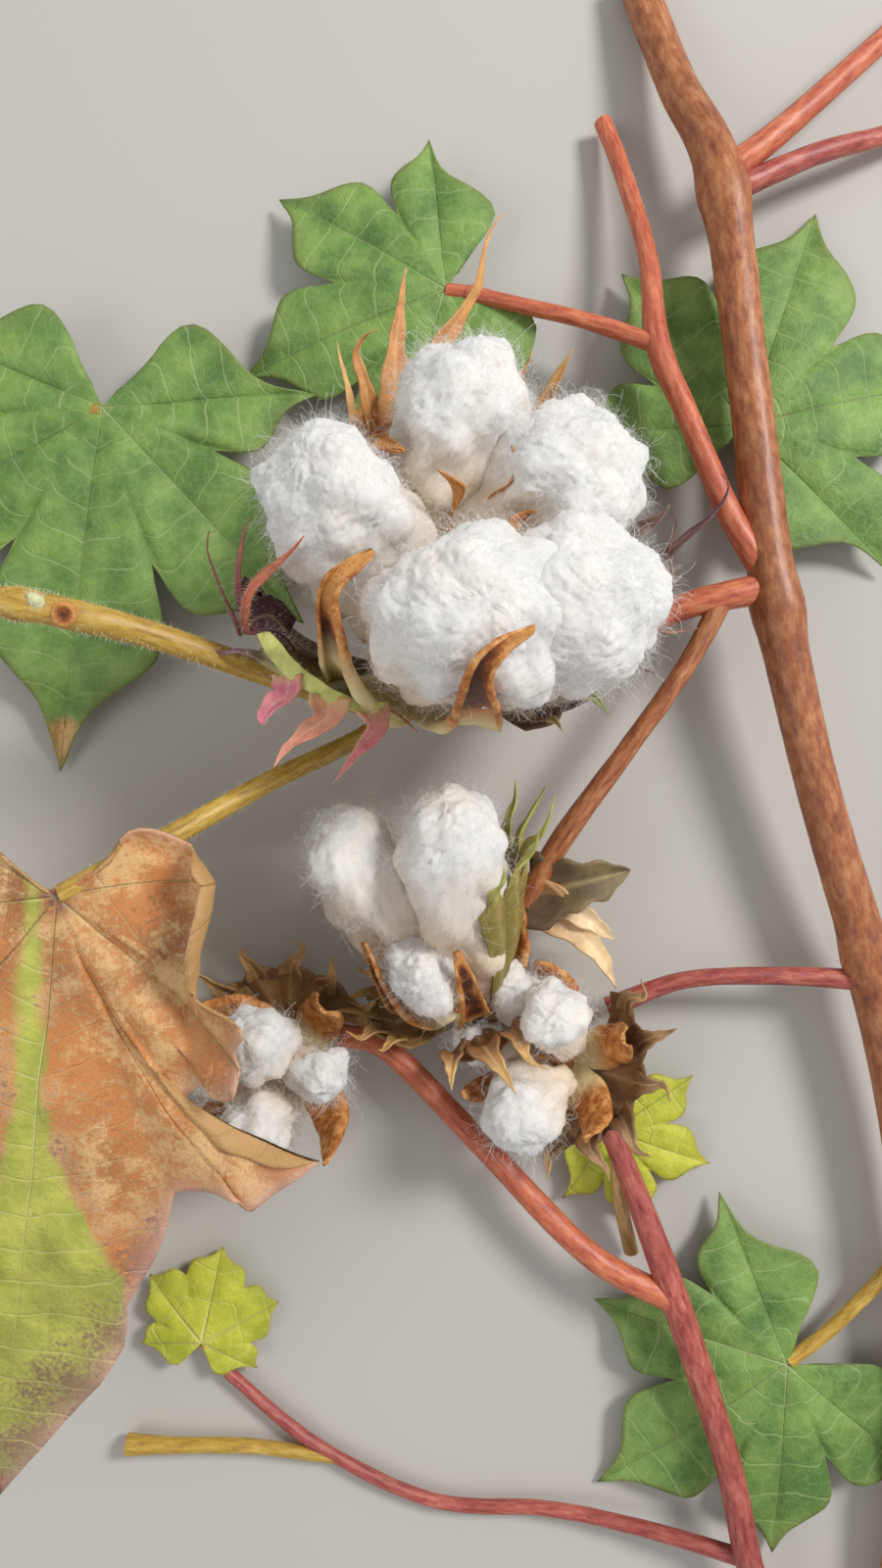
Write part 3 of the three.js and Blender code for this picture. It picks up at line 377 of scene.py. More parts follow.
def leafMaterial(style):
    material, add = newMaterial(f"leaf_{style}")
    colours = leafStyle[style]
    run, off, size, parched, dusky, margin, upside = (
        add("ShaderNodeAttribute", {"attribute_name": key}).outputs["Fac"]
        for key in ("run", "off", "size", "parched", "dusky", "margin", "upside"))
    place3d = add("ShaderNodeTexCoord").outputs["Object"]
    # main veins thin out towards the tip, side veins leave them at a slant
    thin = add("ShaderNodeMath", "DIVIDE", [run, size])
    thin = add("ShaderNodeMath", "SUBTRACT", [leafVeins["taper"], thin])
    width = add("ShaderNodeMath", "MULTIPLY", [thin, leafVeins["main"]])
    main = add("ShaderNodeMath", "SUBTRACT", [1.0, add("ShaderNodeMath", "DIVIDE", [off, width])])
    slant = add("ShaderNodeMath", "MULTIPLY_ADD", [off, -leafVeins["slant"], run])
    slant = add("ShaderNodeMath", "DIVIDE", [slant, leafVeins["apart"]])
    wobble = add("ShaderNodeTexNoise", links={"Vector": place3d, "Scale": 140.0, "Detail": 2.0})
    slant = add("ShaderNodeMath", "MULTIPLY_ADD", [wobble, 0.3, slant])
    side = add("ShaderNodeMath", "SUBTRACT", [add("ShaderNodeMath", "FRACT", [slant]), 0.5])
    side = add("ShaderNodeMath", "MULTIPLY", [add("ShaderNodeMath", "ABSOLUTE", [side]), leafVeins["apart"]])
    side = add("ShaderNodeMath", "DIVIDE", [side, leafVeins["side"]])
    side = add("ShaderNodeMath", "SUBTRACT", [1.0, side])
    side = add("ShaderNodeMath", "MULTIPLY", [side, leafVeins["faint"]])
    cells = add("ShaderNodeTexVoronoi", {"feature": "DISTANCE_TO_EDGE"}, {
        "Vector": place3d, "Scale": 420.0})  # the net of finest veins, 2.4 mm cells
    net = add("ShaderNodeMapRange", links=[cells, 0.0, 0.09, 0.13, 0.0])
    veins = add("ShaderNodeMath", "MAXIMUM", [add("ShaderNodeMath", "MAXIMUM", [side, net]), main])
    veins = add("ShaderNodeMath", "MINIMUM", [add("ShaderNodeMath", "MAXIMUM", [veins, 0.0]), 1.0])
    # blotches of 18 mm, mottling of 9 mm and a grain of 1 mm
    blotch = add("ShaderNodeTexNoise", links={
        "Vector": place3d, "Scale": 55.0, "Detail": 5.0, "Roughness": 0.65})
    mottle = add("ShaderNodeTexNoise", links={
        "Vector": place3d, "Scale": 110.0, "Detail": 6.0, "Roughness": 0.6})
    fine = add("ShaderNodeTexNoise", links={
        "Vector": place3d, "Scale": 1100.0, "Detail": 4.0, "Roughness": 0.75})
    fresh = add("ShaderNodeValToRGB", {"stops": [(0.35, colours["low"]), (0.65, colours["high"])]}, [mottle])
    # brown parts are blotched with dark red-brown, thickest along the veins, and finely speckled
    dusk = add("ShaderNodeMath", "MULTIPLY", [fine, 1.4])
    dusk = add("ShaderNodeMath", "MULTIPLY_ADD", [blotch, 1.5, dusk])
    dusk = add("ShaderNodeMath", "MULTIPLY_ADD", [add("ShaderNodeMath", "MAXIMUM", [main, 0.0]), 0.12, dusk])
    speckMask = add("ShaderNodeMapRange", links=[dusk, 1.3, 1.68, 0.0, 0.85])
    brown = add("ShaderNodeMix", {"data_type": "RGBA"}, {
        "Factor": speckMask, "A": linear(colours["dry"]), "B": linear(colours["speck"])})
    golden = add("ShaderNodeMath", "MULTIPLY", [fine, 0.4])
    golden = add("ShaderNodeMath", "MULTIPLY_ADD", [mottle, 0.6, golden])
    warm = add("ShaderNodeMapRange", links=[golden, 0.47, 0.56, 0.0, 0.75])
    brown = add("ShaderNodeMix", {"data_type": "RGBA"}, {"Factor": warm, "A": brown, "B": linear("#F0C486")})
    edge = add("ShaderNodeMath", "ADD", [parched, add("ShaderNodeMath", "MULTIPLY_ADD", [mottle, 1.0, -0.5])])
    dryMask = add("ShaderNodeMapRange", links=[edge, 0.38, 0.62, 0.0, 1.0])
    blade = add("ShaderNodeMix", {"data_type": "RGBA"}, {"Factor": dryMask, "A": fresh, "B": brown})
    # and where the blade died first it is purple-brown
    grain = add("ShaderNodeMath", "MULTIPLY_ADD", [fine, 2.2, -2.2])
    grain = add("ShaderNodeMath", "MULTIPLY_ADD", [mottle, 2.2, grain])
    died = add("ShaderNodeMath", "ADD", [dusky, grain])
    duskMask = add("ShaderNodeMapRange", links=[died, 0.4, 1.0, 0.0, 0.8])
    blade = add("ShaderNodeMix", {"data_type": "RGBA"}, {
        "Factor": duskMask, "A": blade, "B": linear("#7E4A50")})
    # veins show less on dry parts
    faint = add("ShaderNodeMath", "MULTIPLY_ADD", [dryMask, -0.6, 0.9])
    faint = add("ShaderNodeMath", "MULTIPLY", [veins, faint])
    veined = add("ShaderNodeMix", {"data_type": "RGBA"}, {
        "Factor": faint, "A": blade, "B": linear(colours["vein"])})
    rimmed = add("ShaderNodeMix", {"data_type": "RGBA"}, {
        "Factor": margin, "A": veined, "B": linear(colours["rim"])})
    both = add("ShaderNodeMix", {"data_type": "RGBA"}, {
        "Factor": upside, "A": linear(colours["under"]), "B": rimmed})
    height = add("ShaderNodeMath", "MULTIPLY_ADD", [fine, 0.4, mottle])
    height = add("ShaderNodeMath", "MULTIPLY_ADD", [veins, -0.7, height])
    height = add("ShaderNodeMath", "MULTIPLY_ADD", [blotch, 1.2, height])
    relief = add("ShaderNodeBump", links={"Height": height, "Strength": 0.8, "Distance": 0.0006})
    add("ShaderNodeOutputMaterial", links=[add("ShaderNodeBsdfPrincipled", links={
        "Base Color": both, "Roughness": 0.55, "IOR": 1.45, "Normal": relief})])
    return material


# Cut wood: a dry pale end with a brown pith in its middle and faint rings round it
def cutMaterial():
    material, add = newMaterial("cut_wood")
    share = add("ShaderNodeAttribute", {"attribute_name": "share"}).outputs["Fac"]
    place3d = add("ShaderNodeTexCoord").outputs["Object"]
    grain = add("ShaderNodeTexNoise", links={"Vector": place3d, "Scale": 1500.0, "Detail": 3.0})
    spread = add("ShaderNodeMath", "MULTIPLY_ADD", [grain, 0.16, share])
    tone = add("ShaderNodeValToRGB", {"stops": [
        (0.2, "#8A6238"), (0.32, "#E2D2A0"), (0.85, "#CDB880"), (0.98, "#7A5A34")]}, [spread])
    add("ShaderNodeOutputMaterial", links=[add("ShaderNodeBsdfPrincipled", links={
        "Base Color": tone, "Roughness": 0.75})])
    return material


# Plant hair: short, clear and straight, it only lightens an outline
def hairMaterial():
    material, add = newMaterial("plant_hair")
    add("ShaderNodeOutputMaterial", links=[add("ShaderNodeBsdfPrincipled", links={
        "Base Color": linear("#EDE6CC"), "Roughness": 0.5})])
    return material


barks = {style: barkMaterial(style) for style in barkStyle}
# the matted core's colours are a little darker than the loose fibres': painted shade under the fibre layer
lintMattedShaded = lintMaterial("cotton_lint_matted_shaded", ("#E6E4E0", "#F3F1ED"), True)
lintLoose = lintMaterial("cotton_lint_loose", ("#FAFAF8", "#FDFDFC"), False)
husk = huskMaterial()
bractBlade = bractMaterial()
leafBlades = {style: leafMaterial(style) for style in leafStyle}
plantHair = hairMaterial()
cutWood = cutMaterial()
print("stage: materials ready")


# Limbs: a Geometry Nodes tree sweeps a round along each limb's line and gives it its grain

def limbSweep():
    tree, given, add = newTree("limbSweep", {
        "Geometry": "NodeSocketGeometry", "Sides": 24, "Ridge Height": 0.00012, "Knot Height": 0.0003,
        "Seed": 1, "Bark": "NodeSocketMaterial"})
    thick = add("GeometryNodeInputNamedAttribute", links={"Name": "thick"})
    line = add("GeometryNodeMeshToCurve", links={"Mesh": given["Geometry"]})
    circle = add("GeometryNodeCurvePrimitiveCircle", links={"Resolution": given["Sides"], "Radius": 1.0})
    around = add("GeometryNodeInputPosition")
    rimmed = add("GeometryNodeStoreNamedAttribute", {"data_type": "FLOAT_VECTOR", "domain": "POINT"}, {
        "Geometry": circle, "Name": "rim", "Value": around})
    swept = add("GeometryNodeCurveToMesh", links={
        "Curve": line, "Profile Curve": rimmed, "Scale": thick, "Fill Caps": True})
    rim = add("GeometryNodeInputNamedAttribute", {"data_type": "FLOAT_VECTOR"}, {"Name": "rim"})
    along = add("GeometryNodeInputNamedAttribute", links={"Name": "along"})
    parts = add("ShaderNodeSeparateXYZ", links={"Vector": rim})
    slow = add("ShaderNodeMath", "MULTIPLY", [along, 0.08])
    grain = add("ShaderNodeCombineXYZ", links=[parts.outputs["X"], parts.outputs["Y"], slow])
    ridges = add("ShaderNodeTexNoise", {"noise_dimensions": "4D"}, {
        "Vector": grain, "W": given["Seed"], "Scale": 2.4, "Detail": 3.0})
    knots = add("ShaderNodeTexNoise", {"noise_dimensions": "4D"}, {
        "Vector": add("GeometryNodeInputPosition"), "W": given["Seed"], "Scale": 160.0, "Detail": 2.0})
    ridges, knots = (add("ShaderNodeMath", "SUBTRACT", [texture, 0.5]) for texture in (ridges, knots))
    total = add("ShaderNodeMath", "ADD", [add("ShaderNodeMath", "MULTIPLY", [ridges, given["Ridge Height"]]),
                                          add("ShaderNodeMath", "MULTIPLY", [knots, given["Knot Height"]])])
    offset = add("ShaderNodeVectorMath", "SCALE", {"Vector": add("GeometryNodeInputNormal"), "Scale": total})
    moved = add("GeometryNodeSetPosition", links={"Geometry": swept, "Offset": offset})
    real = add("GeometryNodeRealizeInstances", links={"Geometry": moved})
    smooth = add("GeometryNodeSetShadeSmooth", links={"Geometry": real})
    dressed = add("GeometryNodeSetMaterial", links={"Geometry": smooth, "Material": given["Bark"]})
    add("NodeGroupOutput", links={"Geometry": dressed})
    return tree


def hairCoat():
    tree, given, add = newTree("hairCoat", {
        "Geometry": "NodeSocketGeometry", "Hair Density": 1.6e6, "Hair Length": 0.0009,
        "Hair Radius": 0.00003, "Seed": 3, "Hair": "NodeSocketMaterial"})
    spots = add("GeometryNodeDistributePointsOnFaces", links={
        "Mesh": given["Geometry"], "Density": given["Hair Density"], "Seed": given["Seed"]})
    hair = add("GeometryNodeMeshCone", links={
        "Vertices": 3, "Side Segments": 1, "Fill Segments": 1, "Radius Top": 0.0,
        "Radius Bottom": given["Hair Radius"], "Depth": given["Hair Length"]})
    lean = add("FunctionNodeRandomValue", {"data_type": "FLOAT_VECTOR"}, {
        "Min": (-0.6, -0.6, -0.6), "Max": (0.6, 0.6, 0.6), "Seed": given["Seed"]})
    heading = add("ShaderNodeVectorMath", "ADD", [spots.outputs["Normal"], lean])
    turned = add("FunctionNodeAlignRotationToVector", {"axis": "Z"}, {"Vector": heading})
    size = add("FunctionNodeRandomValue", {"data_type": "FLOAT"}, {"Min": 0.5, "Max": 1.25, "Seed": 8})
    coat = add("GeometryNodeInstanceOnPoints", links={
        "Points": spots, "Instance": hair, "Rotation": turned, "Scale": size})
    dressed = add("GeometryNodeSetMaterial", links={"Geometry": coat, "Material": given["Hair"]})
    joined = add("GeometryNodeJoinGeometry", links={"Geometry": [dressed, given["Geometry"]]})
    real = add("GeometryNodeRealizeInstances", links={"Geometry": joined})
    add("NodeGroupOutput", links={"Geometry": real})
    return tree


limbShape = {"sides": 22, "petioleSides": 16, "points": 24, "pointsForEach": 12}


def growLimb(name, route, bark, sides=limbShape["sides"], swellings=(), seed=1):
    # route in mm with a radius; swellings are (distance along, extra radius, width), all mm
    line = smoothLine(route, max(limbShape["points"], len(route) * limbShape["pointsForEach"]), even=True)
    lengths = np.concatenate([[0], np.cumsum(np.linalg.norm(np.diff(line[:, :3], axis=0), axis=1))])
    radius = line[:, 3].copy()
    for spot, extra, width in swellings:
        radius += extra * np.exp(-((lengths - spot) / width) ** 2)
    mesh = bpy.data.meshes.new(name)
    edges = [(i, i + 1) for i in range(len(line) - 1)]
    mesh.from_pydata(((line[:, :3] + frameShift) * mm).tolist(), edges, [])
    for key, data in (("thick", radius * mm), ("along", lengths)):
        mesh.attributes.new(key, "FLOAT", "POINT").data.foreach_set("value", data.astype(np.float32))
    obj = bpy.data.objects.new(name, mesh)
    bpy.context.scene.collection.objects.link(obj)
    return applyTree(obj, limbTree, {"Sides": sides, "Seed": seed, "Bark": barks[bark]})


limbTree, hairTree = limbSweep(), hairCoat()


def lathe(profile, centre, axis, count=24):
    # a closed round form: profile is (radius, height) along its axis, from the top down, in mm
    axis = np.array(axis, float) / np.linalg.norm(axis)
    east = np.cross(axis, [0.3, 0.9, 0.2])
    east /= np.linalg.norm(east)
    north = np.cross(axis, east)
    radius, height = np.array(profile, float).T[:, :, None]
    angle = np.linspace(0, 2 * math.pi, count + 1)[:-1][None, :]
    points = (np.array(centre) + axis * (height + 0 * angle)[..., None]
              + east * (radius * np.cos(angle))[..., None]
              + north * (radius * np.sin(angle))[..., None]).reshape(-1, 3)
    values = {"share": (radius / radius.max() + 0 * angle).ravel()}
    return weld(points, gridFaces(len(profile), count, closed=True), values)


# A route holds x, y, height and radius; a swelling is where it is along the limb, its extra radius and width
limbs = {
    "main_stem": {"bark": "rust", "sides": 36, "cuts": ("near", "far"), "swellings": [
        (60, 0.5, 5), (176, 0.7, 5), (250, 0.9, 5), (336, 1, 6)], "route": [
        [89.1, -209.3, 5.2, 5.2], [94.5, -186.1, 6.4, 5.1], [100.4, -133.9, 9, 4.9], [97, -81.7, 11, 4.7],
        [88.5, -40.3, 13, 4.7], [76, 0, 16, 4.3], [66.4, 39.3, 19, 4.6], [61.9, 78.6, 18, 4.2],
        [56.7, 123.4, 15, 4.5], [48.8, 145.4, 10, 4], [41.1, 172, 3.9, 3.9]]},
    "top_branch": {"bark": "coral", "cuts": ("far",), "route": [
        [56.7, 123.4, 15, 3], [69.7, 133.4, 15, 2.6], [92.5, 155, 10.5, 2.3], [102.4, 165.5, 6, 2.2]]},
    "top_low_branch": {"bark": "wine", "cuts": ("far",), "route": [
        [56.7, 119.5, 15, 2.6], [76.6, 129.6, 11.5, 2.2], [92.9, 136.2, 7, 2], [105.9, 142, 2.6, 2]]},
    "fruiting_branch": {"bark": "coral", "route": [
        [66.4, 39.3, 19, 3.2], [55.7, 37.2, 19.5, 2.9], [45.2, 34.2, 18, 2.7], [18, 22, 13, 2.6],
        [-10.5, 15.3, 11, 3.2]]},
    "outer_branch": {"bark": "olive", "cuts": ("far",), "swellings": [
        (79, 0.7, 2.6), (88, 0.5, 4)], "route": [
        [-10.5, 15.3, 11, 2.4], [-23, 17.8, 24, 2.3], [-30.7, 19.9, 36, 2.3], [-49.4, 25.6, 48, 2.4],
        [-63.6, 28.9, 54, 2.7], [-75.2, 30.7, 56, 2.2], [-99, 33.6, 57.5, 2]]},
    "side_branch": {"bark": "coral", "cuts": ("far",), "route": [
        [66.2, 39.7, 19, 2.8], [57.4, 53.5, 20, 2.5], [49.1, 74.6, 18, 2.3], [43.8, 89.2, 16, 2.5],
        [42.4, 108.4, 12.5, 2], [38, 129.1, 7, 1.9], [34.5, 141, 3.6, 1.9]]},
    "side_twig": {"bark": "coral", "route": [
        [44, 88.8, 16, 1.9], [30, 94.4, 14, 1.7], [14.2, 99.2, 11.5, 1.6], [5.5, 101.9, 10, 1.7]]},
    "drooping_branch": {"bark": "rust", "route": [
        [56.3, 37.2, 19.5, 2.2], [48.7, 23.4, 20, 2], [37, 6.8, 19.5, 2], [23.9, -11.7, 17.5, 2.3],
        [14, -30, 13, 2.1], [7.5, -43, 10, 2.3]]},
    "cross_branch": {"bark": "wine", "route": [
        [88.5, -40.3, 13, 2.3], [70.6, -39.5, 12, 1.9], [50.4, -40.5, 11, 1.8], [34.5, -46.5, 10, 2.2]]},
    "lower_stem": {"bark": "wine", "route": [
        [91.5, -199, 5.9, 3.4], [73.5, -183.3, 8, 3.1], [64.6, -164.1, 10.5, 2.9], [58.8, -138.9, 12, 2.8],
        [48.2, -106.3, 12.5, 3], [38.6, -80.3, 11.5, 2.4], [32.5, -66, 11, 2.3]]},
    "lower_side_stem": {"bark": "coral", "route": [
        [48.2, -106.3, 12.5, 2.7], [30.2, -96.8, 11, 2.6], [8.1, -74.6, 9.5, 2.5], [-11, -55.6, 8.5, 2.4],
        [-21, -52.5, 8, 2.5]]},
    "lower_twig": {"bark": "wine", "route": [
        [64, -161, 10, 1.8], [43, -157.5, 5.5, 1.6], [22.8, -154.7, 3.2, 1.5], [-2.1, -153.3, 2.4, 1.4],
        [-27.1, -141.4, 2.2, 1.4], [-45.6, -126, 2.4, 1.3]]},
    "bud_twig": {"bark": "olive", "cuts": ("far",), "route": [
        [-22, -144.5, 2.2, 1.3], [-40, -141.8, 2.6, 1.5], [-58, -141.3, 3, 1.7], [-67, -141, 3.2, 2.3]]},
    "petiole_stub": {"bark": "straw", "cuts": ("far",), "route": [
        [36.5, -75.5, 10.5, 1.7], [37.8, -88, 6.5, 1.5], [40.5, -99.5, 4, 1.6]]},
    "boll_1_stalk": {"bark": "olive", "route": [
        [-10.5, 15.3, 11, 2.6], [-8.6, 19, 12.4, 2.4], [-4.8, 24.2, 14.6, 3]]},
}

# A cut end is a low disc, seen between these places of the route; the profile is a share of the limb's radius
# and a height in mm
cutEnds = {"near": (0, 1), "far": (-1, -2)}
cutDisc = {"profile": [(0, 0.14), (0.35, 0.14), (0.8, 0.12), (1, -0.1), (0, -0.12)], "share": 0.86}

for index, (name, limb) in enumerate(limbs.items()):
    obj = growLimb(f"limb_{name}", limb["route"], limb["bark"], limb.get("sides", limbShape["sides"]),
                   limb.get("swellings", ()), index)
    if name == "outer_branch":
        applyTree(obj, hairTree, {"Hair": plantHair})
    line = np.array(limb["route"])
    for cut in limb.get("cuts", ()):
        end, ahead = cutEnds[cut]
        profile = cutDisc["profile"] * np.array([line[end, 3] * cutDisc["share"], 1])
        disc = lathe(profile, line[end, :3], line[end, :3] - line[ahead, :3])
        place(makeObject(f"limb_{name}_cut_{end % len(line)}", [disc], cutWood), "stem")
    place(obj, "twig" if limb["bark"] in ("olive", "straw") else "stem", name)

# The outer branch has a scar where a fruit dropped off, and a hairy bud
fruitScar = {"centre": [-62.9, 28.3, 56.2], "axis": [0.1, -0.25, 1], "profile": [
    (0, 0.5), (0.6, 0.4), (1.1, 0.5), (1.5, 0.95), (1.9, 0.9), (2.3, 0.3), (2.2, -1.2), (0, -1.3)]}
sideBud = {"centre": [-67, 30.2, 56.9], "axis": [-0.5, 0.5, 0.6], "tint": "#CFCFA0", "profile": [
    (0, 2.3), (0.5, 2), (1, 1.2), (1.3, 0.2), (1.2, -0.8), (0.7, -1.6), (0, -1.8)],
    "hair": {"Hair": plantHair, "Hair Density": 9e6, "Hair Length": 0.0011}}

scar = lathe(fruitScar["profile"], fruitScar["centre"], fruitScar["axis"])
share = scar[2]["share"]
# the scar is darker towards its middle, through the same ramp as a valve's hollow
scar[2].update(hollow=1 - share * 0.9, pale=0 * share, upside=0 * share + 1)
place(makeObject("outer_branch_scar", [scar], husk), "twig")
bud = lathe(sideBud["profile"], sideBud["centre"], sideBud["axis"])
bud[2].update(tint=np.tile(linear(sideBud["tint"]), (len(bud[0]), 1)), ribs=0 * bud[2]["share"])
budObject = makeObject("outer_branch_bud", [bud], bractBlade)
applyTree(budObject, hairTree, sideBud["hair"])
place(budObject, "twig")
print("stage: limbs grown")


# Bolls, in a boll's own frame: turn round its axis, distance out from it, and height up it. A lock is its
# heart's turn, distance and height, then its radius, cap and width. A valve follows the boll's path at a turn
# and size, or a ridge of its own. A tooth has a root in the boll's frame and places seen on the photo.

